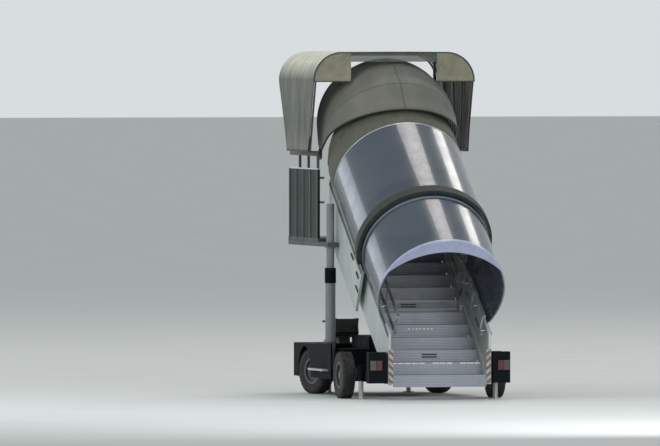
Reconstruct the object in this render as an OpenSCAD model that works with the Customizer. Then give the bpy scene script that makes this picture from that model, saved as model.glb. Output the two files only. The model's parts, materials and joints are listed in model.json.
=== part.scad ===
// Mobile passenger stairs for regional aircraft, self propelled.
// X runs across, Y uphill towards the aircraft and Z up. The origin lies on the
// ground under the middle of the whole machine. Lengths are in millimetres.

/* [Stair] */
// Height of one step
riser = 186; // [170:1:200]
// Depth of one step from nosing to nosing
going = 276; // [255:1:300]
// Number of steps up to the landing
steps = 12; // [12:1:13]
// Height of the foot plate's lower edge over the ground
foot_z = 200; // [180:1:230]
// Thickness of the tread and riser sheet
tread_t = 28; // [20:1:34]
// Number of treads carried by the lower flight
lower_steps = 6; // [6:1:7]
// Half width of the treads
tread_half = 735; // [715:1:750]
// Thickness of a side panel
panel_t = 40; // [25:1:50]
// Gap between the lower flight's panel and the upper flight's
panel_gap = 75; // [65:1:80]
// Depth of a side panel below the nosing line, square to it
panel_below = 125; // [100:1:160]
// Overlap of the two flights along the slope
overlap = 500; // [450:1:560]
// Height of the handrail above the nosing line
rail_h = 960; // [900:1:990]
// Diameter of the handrail tube
rail_d = 44; // [36:1:52]

/* [Canopy] */
// Outer radius of the lower canopy
canopy_r = 985; // [960:1:1000]
// Thickness of the canopy sheet
canopy_t = 15; // [10:1:20]
// Distance of the lower canopy's rim in front of the foot
rim_reach = 80; // [40:1:120]
// Height of the canopy's axis over the nosing line
axis_h = 1298; // [1285:1:1310]
// Running gap between the two canopies
canopy_gap = 20; // [16:1:26]
// Half the angle that the lower canopy spans about its axis
lower_angle = 124; // [122:1:125]
// Half the angle that the upper canopy spans about its axis
upper_angle = 116; // [114:1:117]
// Width of the dark seal hoop on the upper canopy
seal_w = 150; // [100:1:170]
// Depth of the pale fascia at the crown of the rim
fascia_h = 210; // [190:1:240]

/* [Landing] */
// Length of the landing floor
landing_l = 1845; // [1750:1:1900]
// Thickness of the landing floor
deck_t = 52; // [45:1:60]
// Half width of the landing over its side walls
landing_half = 1100; // [1095:1:1110]
// Height of the landing walls
wall_h = 1070; // [1000:1:1120]
// Thickness of the landing walls
wall_t = 35; // [25:1:38]
// Gap between the top step and the landing floor
step_gap = 45; // [38:1:55]

/* [Shelter] */
// Half width of the shelter over its cover
shelter_half = 1290; // [1270:1:1295]
// Height of the shelter's roof over the ground
shelter_z = 5330; // [5300:1:5360]
// Length of the shelter along the landing
shelter_l = 2280; // [2200:1:2300]
// Radius of the shelter's upper corners
shelter_r = 450; // [380:1:480]
// How far the side's front edge leans back at its lower end
front_taper = 360; // [300:1:380]
// How far the side's rear edge leans forward at its lower end
rear_taper = 560; // [500:1:600]
// Thickness of the shelter's ribbed cover
shelter_t = 30; // [24:1:36]
// Height of the shelter side's lower edge over the ground
shelter_low_z = 3780; // [3700:1:3850]
// Outer radius of the folding hood about its pivot
hood_reach = 1482; // [1475:1:1500]
// Half width of the folding hood
hood_half = 1060; // [1056:1:1064]
// Thickness of the folding hood's fabric
hood_t = 12; // [8:1:14]

/* [Mast] */
// Half distance between the two masts
mast_half = 1050; // [1048:1:1056]
// Distance of the masts behind the foot
mast_y = 2750; // [2700:1:2780]
// Outer diameter of the fixed mast tube
mast_d = 160; // [154:1:166]
// Diameter of the sliding mast tube
ram_d = 124; // [110:1:128]

/* [Chassis] */
// Diameter of the tyres
tyre_d = 720; // [700:1:726]
// Width of a tyre
tyre_w = 200; // [180:1:206]
// Distance of the rear axle behind the foot
rear_axle_y = 1260; // [1240:1:1280]
// Distance between the axles
wheelbase = 2680; // [2650:1:2700]
// Half distance between the rear wheels
rear_track_half = 1200; // [1196:1:1206]
// Half distance between the front wheels
front_track_half = 1000; // [990:1:1005]
// Angle at which the front wheels are parked
park_steer = 20; // [10:1:22]
// Height of the chassis rails' underside
rail_z = 270; // [260:1:290]
// Height of a chassis rail
rail_beam_h = 130; // [110:1:140]
// Height of the deck over the front wheels
fender_z = 790; // [785:1:810]

/* [Hidden] */

// Running clearance between pieces that move past each other
run_gap = 6;
slope = atan(riser / going);
pitch = sqrt(riser * riser + going * going);
// Places along the slope, measured from the nosing of the first step
rim_s = axis_h * sin(slope) - rim_reach / cos(slope);
axis_up = axis_h * cos(slope);
joint_s = lower_steps * pitch;
upper_s = joint_s - 114;
lower_end_s = upper_s + overlap;
canopy_end_s = steps * pitch + 286;
rail_end_s = steps * pitch + 126;
last_post_s = steps * pitch - 94;
retract_max = 174;
upper_canopy_r = canopy_r + canopy_gap + canopy_t;
seal_t = 45;
rim_trim = 20;
// Panels: the upper flight runs outside the lower one
stringer_w = 40;
lower_panel_x = tread_half + stringer_w;
upper_panel_x = lower_panel_x + panel_t + panel_gap;
stringer_t = 29;
// Lower flight: where its panels start, how far its stringers go under the upper flight, and
// its two slide pads' places up the panel and along it
panel_from_s = -400;
stringer_lap = 90;
pad_up = [-60, 420];
pad_h = 90;
pad_back = [160, 40];
// Spacers of the upper flight, from and to past the lower panel's end
spacer_s = [30, 900];
upper_tread_half = tread_half + run_gap;
stringer_above = 30;
// Clearance that seats a piece on what carries it
seat_gap = 0.3;
// The panels end under the canopies' lower edges
lower_panel_top = axis_up - (lower_panel_x + panel_t) / tan(180 - lower_angle) - seat_gap;
upper_panel_top = axis_up - (upper_panel_x + panel_t) / tan(180 - upper_angle) - seat_gap;
top_y = steps * going;
landing_z = foot_z + steps * riser;
deck_y = top_y + step_gap;
deck_end = deck_y + landing_l;
bumper_t = 60;
// The whole length runs from the rim's crown to the bumper's face
front_reach = (axis_up + canopy_r + rim_trim) * sin(slope) - rim_s * cos(slope);
y_mid = (deck_end + bumper_t - front_reach) / 2;
pivot_y = 150;
pivot_z = 280;
pivot_r = 30;
lug_r = 55;
hood_y = 3450;
hood_z = 3750;
hood_arc_r = hood_half;
hood_from = 28;
hood_to = 107;
hood_foot = 120;
bow_count = 5;
hoop_count = 5;
hoop_t = 26;
hoop_in = 14;
side_rail_h = 34;
plate_w = 600;
plate_strip_h = 150;
plate_t = 12;
bow_t = 26;
landing_rails = [560, 940];
// Landing: cross-beams under the floor, from its near and far ends, and a small fitting
deck_beams = [250, 900, 90];
deck_beam_w = 60;
deck_beam_h = 70;
deck_fitting_x = [-650, -560];
deck_fitting_y = [320, 400];
deck_fitting_h = 90;
shelter_y = deck_end - 40 - shelter_l;
rail_in = 920;
rail_t = 100;
step_y = 1950;
rail_run = 1150;
inner_rail_x = 450;
sheet_t = 30;
body_half = mast_half + mast_d / 2 + 10 + sheet_t;
front_axle_y = rear_axle_y + wheelbase;
frame_overhang = 660;
fender_back = 460;
frame_end_y = front_axle_y + frame_overhang;
fender_from = front_axle_y - fender_back;
kingpin_in = 140;
kingpin_x = front_track_half - kingpin_in;
wheel_r = tyre_d / 2;
rim_r = 205;
stub_r = 30;
arch_r = wheel_r + 30;
rear_jack_y = 730;
jack_inset = 120;
jack_y = [rear_jack_y, frame_end_y - jack_inset];
jack_x = [1068, 640];
jack_r = 38;
jack_foot_r = 90;
ram_gap = 2.5;
ram_flange_h = 15;
ram_flange_w = 22;
mast_low_z = 400;
mast_top_z = 1750;
ram_low_z = 900;
ram_top_z = 2980;
flange_z = 840;
flange_h = 24;
flange_w = 25;
collar_h = 235;
// Far end for bands that are cut by something else
far = 6000;
// Chassis pieces: [from, to] along Y or up Z
beam_y = [10, 180];
beam_z = [260, 740];
beam_in = lower_panel_x + panel_t + 25;
beam_out = 1120;
lamp_z = [460, 610];
lamp_t = 25;
lamp_w = 90;
lamp_gap = 5;
body_from = 2250;
housing_y = [body_from + 50, fender_from - 80];
housing_top = 930;
housing_wall = 20;
engine_y = [housing_y[0] + 150, housing_y[1] - 200];
engine_z = [420, 850];
engine_half = 260;
bearer_y = [engine_y[0] + 70, engine_y[1] - 340];
bearer_w = 80;
tank_y = [2120, 2560];
tank_in = 600;
tank_top = 740;
side_step_w = 95;
side_step_y = [2400, 3350];
side_step_z = [390, 420];
jack_arm_w = 60;
jack_arm_z = [280, 520];
jack_wall = 12;
jack_foot_h = 15;
jack_l = 500;
// Driver's place on the left, over the front wheel's deck
seat_x = -600;
seat_half = 230;
seat_y = [fender_from + 30, fender_from + 510];
seat_back_y = seat_y[0] + 80;
seat_base_y = [seat_y[0] + 130, seat_y[0] + 310];
seat_base_half = 90;
seat_z = [900, 980];
seat_back_z = [930, 1200];
column_y = seat_y[1] + 260;
column_h = 340;
column_r = 32;
wheel_ring_r = 190;
grip_r = 15;
spoke_w = 24;
// Tow jaw: two ears and their plate
jaw_z = [300, 330, 390, 420];
jaw_half = 55;
jaw_l = 140;
jaw_plate = [80, 20];
jaw_hole_back = 60;
jaw_hole_r = 15;
// Front knuckles
pin_r = 24;
eye_r = 42;
eye_h = 110;
cheek_t = 20;
hub_half = 60;
axle_drop = 80;
axle_half = [45, 40, 30];
yoke_w = [90, 60];
// Rear axle plates on the chassis rails
axle_plate_t = 25;
axle_plate_half = 110;
axle_plate_up = [10, 100];
axle_tube_wall = 15;
fine = 96;
$fn = 48;

// Height of the nosing line over the ground at a distance behind the foot
function nosing_z(y) = foot_z + riser + y * tan(slope);
// Points of one stepped sheet from step a to step b; drop is its first riser's height
function stair_top(a, b, drop) = [for (k = [a:b]) each
    [[k * going, k == a ? foot_z + (k + 1) * riser - drop : foot_z + k * riser],
     [k * going, foot_z + (k + 1) * riser]]];
function stair_low(a, b, drop) = [for (k = [b:-1:a]) each
    [[k * going + tread_t, foot_z + (k + 1) * riser - tread_t],
     [k * going + tread_t, k == a ? foot_z + (k + 1) * riser - max(drop, tread_t)
                                  : foot_z + k * riser - tread_t]]];

// Extrudes an outline drawn in Y and Z from one X to another
module across(x0, x1) {
    translate([x0, 0, 0]) rotate([90, 0, 90]) linear_extrude(x1 - x0) children();
}
module both_sides() {
    children();
    mirror([1, 0, 0]) children();
}
module placed() { translate([0, -y_mid, 0]) children(); }
// The frame of the slope: Y up the flight, Z square to it, zero on the first nosing
module on_slope() { translate([0, 0, foot_z + riser]) rotate([slope, 0, 0]) children(); }
module tube_x(x0, x1, y, z, r) {
    translate([x0, y, z]) rotate([0, 90, 0]) cylinder(h = x1 - x0, r = r);
}
module block(x, y, z) {
    translate([x[0], y[0], z[0]]) cube([x[1] - x[0], y[1] - y[0], z[1] - z[0]]);
}

// Closed risers and treads, folded from one sheet
module stair_sheet(half, a, b, drop) {
    across(-half, half) polygon(concat(stair_top(a, b, drop),
        [[(b + 1) * going, foot_z + (b + 1) * riser],
         [(b + 1) * going, foot_z + (b + 1) * riser - tread_t]],
        stair_low(a, b, drop)));
}
module lower_treads() placed() color([0.55, 0.57, 0.57]) {
    stair_sheet(tread_half, 0, lower_steps - 1, riser);
    // Low upstand at the last tread, under the first tread of the upper flight
    block([-tread_half, tread_half], [joint_y() - tread_t, joint_y()],
        [joint_z() - riser - tread_t, joint_z() - riser + 45]);
}
function joint_y() = lower_steps * going;
function joint_z() = foot_z + (lower_steps + 1) * riser;
module upper_treads() placed() color([0.55, 0.57, 0.57])
    stair_sheet(upper_tread_half, lower_steps, steps - 1, tread_t);

// A band along the slope in the YZ plane, cut upright at y0 or y1
module band(s0, s1, low, high, y0, y1) {
    intersection() {
        translate([0, foot_z + riser]) rotate(slope) translate([s0, low])
            square([s1 - s0, high - low]);
        translate([y0, 0]) square([y1 - y0, far]);
    }
}
module lower_sides() placed() color([0.62, 0.65, 0.64]) both_sides() {
    across(lower_panel_x, lower_panel_x + panel_t)
        band(panel_from_s, lower_end_s, -panel_below, lower_panel_top, beam_y[0], far);
    across(tread_half, lower_panel_x) difference() {
        union() {
            band(panel_from_s, upper_s - retract_max + stringer_lap, -panel_below, stringer_above, beam_y[0], far);
            translate([pivot_y, pivot_z]) circle(r = lug_r);
            translate([pivot_y - lug_r, pivot_z]) square([2 * lug_r, 2 * lug_r]);
        }
        translate([pivot_y, pivot_z]) circle(r = pivot_r + seat_gap);
    }
    // Slide pads between the lower panel and the upper one
    across(lower_panel_x + panel_t, upper_panel_x - seat_gap)
        for (up = pad_up) band(lower_end_s - pad_back[0], lower_end_s - pad_back[1], up, up + pad_h,
            beam_y[0], far);
}
module upper_sides() placed() color([0.62, 0.65, 0.64]) both_sides() {
    across(upper_panel_x, upper_panel_x + panel_t)
        band(upper_s, far, -panel_below, upper_panel_top, 0, top_y - 20);
    across(upper_tread_half, upper_tread_half + stringer_t)
        band(joint_s + 10, far, -panel_below, stringer_above, 0, top_y - 20);
    // Spacers that hang the outer panel on the inner stringer, past the lower panel's end
    across(upper_tread_half + stringer_t, upper_panel_x)
        band(lower_end_s + retract_max + spacer_s[0], lower_end_s + retract_max + spacer_s[1],
            -panel_below, 0, 0, top_y - 20);
}
// Two rails a side with posts and brackets
module rails(x, s0, s1) {
    for (up = [rail_h, 0.58 * rail_h])
        on_slope() translate([x, s0, up * cos(slope)]) rotate([-90, 0, 0])
            cylinder(h = s1 - s0, d = rail_d);
}
module lower_handrails() placed() color([0.30, 0.32, 0.34]) both_sides() {
    rail_x = tread_half - 55;
    s1 = upper_s - 40;
    rails(rail_x, 420, s1);
    for (s = [520, (520 + s1) / 2, s1 - 60]) on_slope() {
        translate([rail_x, s, 0.58 * rail_h * cos(slope)])
            cylinder(h = 0.42 * rail_h * cos(slope), d = rail_d - 10);
        translate([rail_x, s, 0.58 * rail_h * cos(slope)]) rotate([0, 90, 0])
            cylinder(h = lower_panel_x - rail_x, d = rail_d - 14);
    }
}
module upper_handrails() placed() color([0.30, 0.32, 0.34]) both_sides() {
    rail_x = tread_half - 110;
    post_x = upper_tread_half + stringer_t / 2;
    rails(rail_x, upper_s + 20, rail_end_s);
    for (s = [joint_s + 90, (joint_s + 90 + last_post_s) / 2, last_post_s]) on_slope() {
        translate([post_x, s, stringer_above + seat_gap])
            cylinder(h = rail_h * cos(slope) - stringer_above - seat_gap, d = stringer_t - 3);
        for (up = [rail_h, 0.58 * rail_h])
            translate([rail_x, s, up * cos(slope)]) rotate([0, 90, 0])
                cylinder(h = post_x - rail_x, d = rail_d - 16);
    }
}

// Barrel of clear sheet about the slope's axis, open below
module barrel(r, t, s0, s1, half_angle) {
    on_slope() translate([0, s0, axis_up]) rotate([-90, 0, 0]) linear_extrude(s1 - s0)
        ring_sector(r, t, half_angle);
}
// Ring open towards the stairs; the wedge that is cut away points down
module ring_sector(r, t, half_angle) {
    reach = 3 * r;
    difference() {
        circle(r = r, $fn = fine);
        circle(r = r - t, $fn = fine);
        polygon([[0, 0], [reach * sin(half_angle), -reach * cos(half_angle)],
            [0, reach], [-reach * sin(half_angle), -reach * cos(half_angle)]]);
    }
}
module canopy_lower() placed() color([0.20, 0.27, 0.32])
    barrel(canopy_r, canopy_t, rim_s, lower_end_s, lower_angle);
module canopy_upper() placed() color([0.20, 0.27, 0.32])
    barrel(upper_canopy_r, canopy_t, upper_s, canopy_end_s, upper_angle);
module canopy_seal() placed() color([0.15, 0.16, 0.15])
    barrel(upper_canopy_r + seal_t, seal_t, upper_s, upper_s + seal_w, upper_angle - 8);

// Pale rim of the lower canopy: hoops, edge strips and the crescent fascia
module canopy_lower_trim() placed() color([0.80, 0.81, 0.88]) {
    r_out = canopy_r + rim_trim;
    inner_r = 1.29 * canopy_r;
    strip_t = 10;
    rim_w = 40;
    barrel(r_out, rim_trim - seat_gap, rim_s, rim_s + rim_w, lower_angle - 1);
    barrel(canopy_r + strip_t + 3, strip_t + 2, upper_s - 80, upper_s - 50, lower_angle - 1);
    on_slope() translate([0, rim_s - 12, axis_up]) rotate([-90, 0, 0]) linear_extrude(12)
        difference() {
            circle(r = r_out - 2, $fn = fine);
            translate([0, inner_r - (r_out - fascia_h)]) circle(r = inner_r, $fn = fine);
            // The fascia's two points are cut blunt
            translate([-r_out, -0.38 * r_out]) square(2 * r_out);
        }
    for (side = [-1, 1]) barrel_strip(canopy_r + strip_t, strip_t - 2 * seat_gap,
        rim_s + rim_w - 5, upper_s - 75, side);
}
// One strip along a canopy's lower edge
module barrel_strip(r, t, s0, s1, side) {
    edge = 5;
    on_slope() translate([0, s0, axis_up]) rotate([-90, 0, 0]) linear_extrude(s1 - s0)
        intersection() {
            ring_sector(r, t, lower_angle);
            polygon([[0, 0],
                [side * 2 * r * sin(lower_angle - edge), -2 * r * cos(lower_angle - edge)],
                [side * 2 * r * sin(lower_angle + edge), -2 * r * cos(lower_angle + edge)]]);
        }
}

// Folding hood: a U-shaped section turned about a level axis across the landing
module hood_frame() {
    translate([0, hood_y, hood_z]) rotate([90, 0, 0]) rotate([0, -90, 0]) children();
}
module hood_outline(inset, foot) {
    half = hood_half - inset;
    arc_at = hood_reach - hood_arc_r;
    intersection() {
        union() {
            translate([arc_at, 0]) circle(r = half, $fn = fine);
            translate([0, -half]) square([arc_at, 2 * half]);
        }
        translate([foot, -half]) square([2 * hood_reach, 2 * half]);
    }
}
module folding_hood() placed() color([0.50, 0.48, 0.40]) hood_frame()
    rotate([0, 0, hood_from]) rotate_extrude(angle = hood_to - hood_from, $fn = fine)
        difference() {
            hood_outline(0, hood_foot);
            hood_outline(hood_t, 0);
        }
module hood_bows() placed() color([0.28, 0.28, 0.26]) {
    bow_w = 16;
    hood_pin_r = 20;
    disc_r = 95;
    leg_from = disc_r - 9;
    out = hood_half - hood_t - 0.3;
    difference() {
        union() {
            hood_frame() for (i = [0:bow_count - 1])
                rotate([0, 0, hood_from + bow_edge()
                    + i * (hood_to - hood_from - 2 * bow_edge()) / (bow_count - 1)])
                    rotate([90, 0, 0]) linear_extrude(bow_t, center = true) difference() {
                        hood_outline(hood_t + 0.3, leg_from);
                        hood_outline(hood_t + 0.3 + bow_w, -1);
                    }
            both_sides() tube_x(out - bow_w - 4, out - 1, hood_y, hood_z, disc_r);
        }
        both_sides() tube_x(out - 60, out + 60, hood_y, hood_z, hood_pin_r + seat_gap);
    }
}
// Half the angle that a bow's width takes at the crown
function bow_edge() = atan(bow_t / 2 / hood_reach) + 0.3;

// Round-cornered arch of the shelter in X and Z, as a filled outline
module arch(inset, low) {
    half = shelter_half - inset;
    r = shelter_r - inset;
    top = shelter_z - inset;
    intersection() {
        union() {
            for (x = [-1, 1]) translate([x * (half - r), top - r]) circle(r = r, $fn = fine);
            translate([-half, 0]) square([2 * half, top - r]);
            translate([-(half - r), 0]) square([2 * (half - r), top]);
        }
        translate([-half, low]) square([2 * half, top]);
    }
}
// Extrudes an outline drawn in X and Z from one Y to another
module lengthways(y0, y1) {
    translate([0, y1, 0]) rotate([90, 0, 0]) linear_extrude(y1 - y0) children();
}
// Height of the round corner over a distance from the middle, at a depth inside the cover
function roof_over(x, inset) = shelter_z - shelter_r
    + sqrt(pow(shelter_r - inset, 2) - pow(x - shelter_half + shelter_r, 2));
module shelter_cover() placed() color([0.60, 0.59, 0.54]) intersection() {
    corner_z = shelter_z - shelter_r;
    lengthways(shelter_y, shelter_y + shelter_l) difference() {
        arch(0, shelter_low_z);
        arch(shelter_t, 0);
    }
    // The sides are narrower below the round corners
    across(-shelter_half, shelter_half) polygon([[shelter_y - 1, far], [shelter_y - 1, corner_z],
        [shelter_y, corner_z], [shelter_y + front_taper, shelter_low_z - 1],
        [shelter_y + shelter_l - rear_taper, shelter_low_z - 1],
        [shelter_y + shelter_l, corner_z], [shelter_y + shelter_l + 1, corner_z],
        [shelter_y + shelter_l + 1, far]]);
}
module shelter_end_plates() placed() color([0.55, 0.53, 0.42])
    lengthways(shelter_y - plate_t, shelter_y) difference() {
        arch(0, shelter_z - shelter_r);
        translate([plate_w - shelter_half, 0])
            square([2 * (shelter_half - plate_w), shelter_z - plate_strip_h]);
    }
// Places of one of the shelter's hoops, at the roof and at the lower end
function hoop_y(i) = shelter_y + hoop_in + i * (shelter_l - 2 * hoop_in - hoop_t) / (hoop_count - 1);
function hoop_foot_y(i) = shelter_y + front_taper + hoop_in
    + i * (shelter_l - front_taper - rear_taper - 2 * hoop_in - hoop_t) / (hoop_count - 1);
module shelter_frame() placed() color([0.35, 0.36, 0.36]) {
    post = [landing_half - wall_t + 1, landing_half];
    low = shelter_low_z;
    corner_z = shelter_z - shelter_r;
    wall_top = landing_z + wall_h;
    inset = shelter_t + seat_gap;
    side = shelter_half - inset;
    for (i = [0:hoop_count - 1]) {
        lengthways(hoop_y(i), hoop_y(i) + hoop_t) difference() {
            arch(inset, corner_z - 1);
            arch(inset + hoop_t, 0);
        }
        both_sides() across(side - hoop_t, side) polygon([[hoop_foot_y(i), low],
            [hoop_foot_y(i) + hoop_t, low], [hoop_y(i) + hoop_t, corner_z], [hoop_y(i), corner_z]]);
    }
    both_sides() {
        block([side - hoop_t, side], [hoop_foot_y(0), hoop_foot_y(hoop_count - 1) + hoop_t],
            [low, low + side_rail_h]);
        // Posts on the landing's walls reach up into the hoops
        for (i = [2, 3]) {
            block(post, [hoop_y(i) - 12, hoop_y(i) + 38], [wall_top, roof_over(post[1], inset + 10)]);
            block([post[1], side], [hoop_y(i), hoop_y(i) + hoop_t], [low, low + side_rail_h]);
        }
        block(post, [hood_y - 60, deck_end - 40], [hood_z - 40, hood_z + 40]);
        block(post, [hood_y - 60, hood_y - 10], [wall_top, hood_z - 40]);
        tube_x(hood_half - hood_t - 26, post[0], hood_y, hood_z, 20);
    }
}

module landing_deck() placed() color([0.40, 0.42, 0.44]) {
    floor_z = landing_z - deck_t;
    beam_h = deck_beam_h;
    beam = [upper_panel_x + panel_t + 16, landing_half + 15];
    difference() {
        union() {
            block([-landing_half, landing_half], [deck_y, deck_end], [floor_z, landing_z]);
            both_sides() block(beam, [mast_y - 100, deck_end], [floor_z - beam_h, floor_z]);
            for (y = [deck_y + deck_beams[0], deck_y + deck_beams[1], deck_end - deck_beams[2]])
                block([-beam[0], beam[0]], [y, y + deck_beam_w], [floor_z - beam_h, floor_z]);
        }
        both_sides() translate([mast_half, mast_y, floor_z - beam_h - 1])
            cylinder(h = beam_h + 2, r = ram_d / 2 + 0.3);
    }
    // Small fitting under the floor, by the flight's head
    block(deck_fitting_x, [deck_y + deck_fitting_y[0], deck_y + deck_fitting_y[1]],
        [floor_z - beam_h - deck_fitting_h, floor_z]);
}
module landing_walls() placed() color([0.16, 0.19, 0.22]) both_sides()
    block([landing_half - wall_t, landing_half], [deck_y, deck_end],
        [landing_z, landing_z + wall_h]);
module landing_handrails() placed() color([0.30, 0.32, 0.34]) both_sides() {
    rail_x = landing_half - wall_t - 70;
    for (z = [landing_z + landing_rails[0], landing_z + landing_rails[1]])
        translate([rail_x, deck_y + 60, z]) rotate([-90, 0, 0])
            cylinder(h = landing_l - 140, d = rail_d - 6);
    for (y = [deck_y + 120, deck_end - 160], z = [landing_z + landing_rails[0], landing_z + landing_rails[1]])
        tube_x(rail_x, landing_half - wall_t, y, z, 12);
}
module landing_bumper() placed() color([0.07, 0.07, 0.08])
    block([-landing_half, landing_half], [deck_end, deck_end + bumper_t],
        [landing_z - deck_t - deck_beam_h, landing_z]);
module mast_inner() placed() color([0.62, 0.62, 0.68]) both_sides()
    translate([mast_half, mast_y, 0]) {
        translate([0, 0, ram_low_z]) cylinder(h = ram_top_z - ram_low_z, d = ram_d);
        translate([0, 0, landing_z - deck_t - deck_beam_h - ram_flange_h])
            cylinder(h = ram_flange_h, r = ram_d / 2 + ram_flange_w);
    }
module mast_outer() placed() color([0.62, 0.62, 0.68]) both_sides()
    translate([mast_half, mast_y, 0]) difference() {
        union() {
            translate([0, 0, mast_low_z]) cylinder(h = mast_top_z - mast_low_z, d = mast_d);
            translate([0, 0, flange_z]) cylinder(h = flange_h, d = mast_d + 2 * flange_w);
        }
        translate([0, 0, mast_low_z + 20]) cylinder(h = mast_top_z, d = ram_d + 2 * ram_gap);
    }
module mast_collars() placed() color([0.10, 0.10, 0.11]) both_sides()
    translate([mast_half, mast_y, mast_top_z]) difference() {
        union() {
            cylinder(h = collar_h, d = mast_d + 16);
            translate([0, -(mast_d / 2 + 40), collar_h - 60]) cylinder(h = 50, r = 24);
            translate([-20, -(mast_d / 2 + 40), collar_h - 60]) cube([40, 80, 50]);
        }
        translate([0, 0, -1]) cylinder(h = collar_h + 2, d = ram_d + 2 * seat_gap);
    }

// Chassis: outer rails beside the flight, inner rails under the engine
module chassis_frame() placed() color([0.06, 0.07, 0.10]) difference() {
    rail_top = rail_z + rail_beam_h;
    rail = [rail_in, rail_in + rail_t];
    union() {
        both_sides() {
            block(rail, [beam_y[1], step_y + rail_run], [rail_z, rail_top]);
            block([inner_rail_x, inner_rail_x + rail_t], [step_y, frame_end_y], [rail_z, rail_top]);
            block([rail[1], body_half - sheet_t - seat_gap], [mast_y - 90, mast_y + 90],
                [rail_z, rail_top]);
            for (i = [0, 1]) block([[rail[1], inner_rail_x + rail_t][i], jack_x[i]],
                [jack_y[i] - jack_arm_w / 2, jack_y[i] + jack_arm_w / 2], jack_arm_z);
        }
        block([-rail[0], rail[0]], [step_y, step_y + rail_t], [rail_z, rail_top]);
        for (y = [step_y + rail_run - rail_t, frame_end_y - rail_t])
            block([sheet_t + seat_gap - body_half, body_half - sheet_t - seat_gap], [y, y + rail_t],
                [rail_z, rail_top]);
        each_jack() translate([0, 0, jack_arm_z[0]])
            cylinder(h = jack_arm_z[1] - jack_arm_z[0], r = jack_r + jack_wall);
    }
    each_jack() cylinder(h = far, r = jack_r + seat_gap);
}
module each_jack() both_sides() for (i = [0, 1])
    translate([jack_x[i], jack_y[i], 0]) children();

module rear_beam() placed() color([0.07, 0.08, 0.11]) {
    both_sides() block([beam_in, beam_out], beam_y, beam_z);
    tube_x(-beam_in, beam_in, pivot_y, pivot_z, pivot_r);
}
module tail_lamps() placed() both_sides() {
    lamp_y = [beam_y[0] - lamp_t, beam_y[0]];
    outer = beam_out - 15;
    color([0.85, 0.85, 0.85]) block([outer - lamp_w, outer], lamp_y, lamp_z);
    color([0.45, 0.05, 0.05])
        block([outer - 2 * lamp_w - lamp_gap, outer - lamp_w - lamp_gap], lamp_y, lamp_z);
}
module body_sides() placed() color([0.05, 0.06, 0.09]) both_sides()
    across(body_half - sheet_t, body_half) difference() {
        polygon([[body_from, rail_z], [body_from, flange_z - 10], [fender_from, fender_z],
            [frame_end_y + sheet_t, fender_z], [frame_end_y + sheet_t, rail_z]]);
        translate([front_axle_y, wheel_r]) circle(r = arch_r, $fn = fine);
        translate([front_axle_y - arch_r, 0]) square([2 * arch_r, wheel_r]);
    }
module front_cowl() placed() color([0.05, 0.06, 0.09]) {
    side = body_half - sheet_t;
    block([-side, side], [fender_from, frame_end_y + sheet_t], [fender_z - sheet_t, fender_z]);
    block([-side, side], [frame_end_y, frame_end_y + sheet_t], [rail_z, fender_z]);
}
module engine_housing() placed() color([0.08, 0.09, 0.11]) difference() {
    half = inner_rail_x + rail_t - 5;
    base_z = rail_z + rail_beam_h;
    inside = half - housing_wall;
    block([-half, half], housing_y, [base_z, housing_top]);
    block([-inside, inside], [housing_y[0] + housing_wall, housing_y[1] - housing_wall],
        [base_z - 1, housing_top - housing_wall]);
}
module engine_block() placed() color([0.18, 0.18, 0.19]) {
    block([-engine_half, engine_half], engine_y, engine_z);
    for (y = bearer_y) block([-inner_rail_x, inner_rail_x], [y, y + bearer_w],
        [engine_z[0] - bearer_w, engine_z[0]]);
}
module tank_box() placed() color([0.10, 0.11, 0.13]) both_sides()
    block([tank_in, rail_in + rail_t], tank_y, [rail_z + rail_beam_h, tank_top]);
module driver_seat() placed() color([0.10, 0.10, 0.11]) {
    block([seat_x - seat_base_half, seat_x + seat_base_half], seat_base_y, [fender_z, seat_z[0]]);
    block([seat_x - seat_half, seat_x + seat_half], [seat_back_y - 30, seat_y[1]], seat_z);
    block([seat_x - seat_half + 10, seat_x + seat_half - 10], [seat_y[0], seat_back_y], seat_back_z);
}
module steering_wheel() placed() color([0.09, 0.09, 0.10])
    translate([seat_x, column_y, fender_z]) {
        hub_z = column_h - 2 * grip_r + 12;
        cylinder(h = column_h, r = column_r);
        translate([0, 0, column_h - 10])
            rotate_extrude() translate([wheel_ring_r, 0]) circle(r = grip_r);
        for (a = [0, 120, 240]) rotate([0, 0, a]) translate([0, -spoke_w / 2, hub_z])
            cube([wheel_ring_r - 5, spoke_w, 16]);
    }
module side_steps() placed() color([0.55, 0.56, 0.58]) both_sides()
    block([body_half, body_half + side_step_w], side_step_y, side_step_z);
module tow_jaw() placed() color([0.15, 0.15, 0.16]) difference() {
    plate_y = frame_end_y + sheet_t;
    union() {
        for (i = [0, 2]) block([-jaw_half, jaw_half], [plate_y, plate_y + jaw_l],
            [jaw_z[i], jaw_z[i + 1]]);
        block([-jaw_plate[0], jaw_plate[0]], [plate_y, plate_y + jaw_plate[1]],
            [jaw_z[0], jaw_z[3]]);
    }
    translate([0, plate_y + jaw_l - jaw_hole_back, 0]) cylinder(h = far, r = jaw_hole_r);
}

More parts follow.
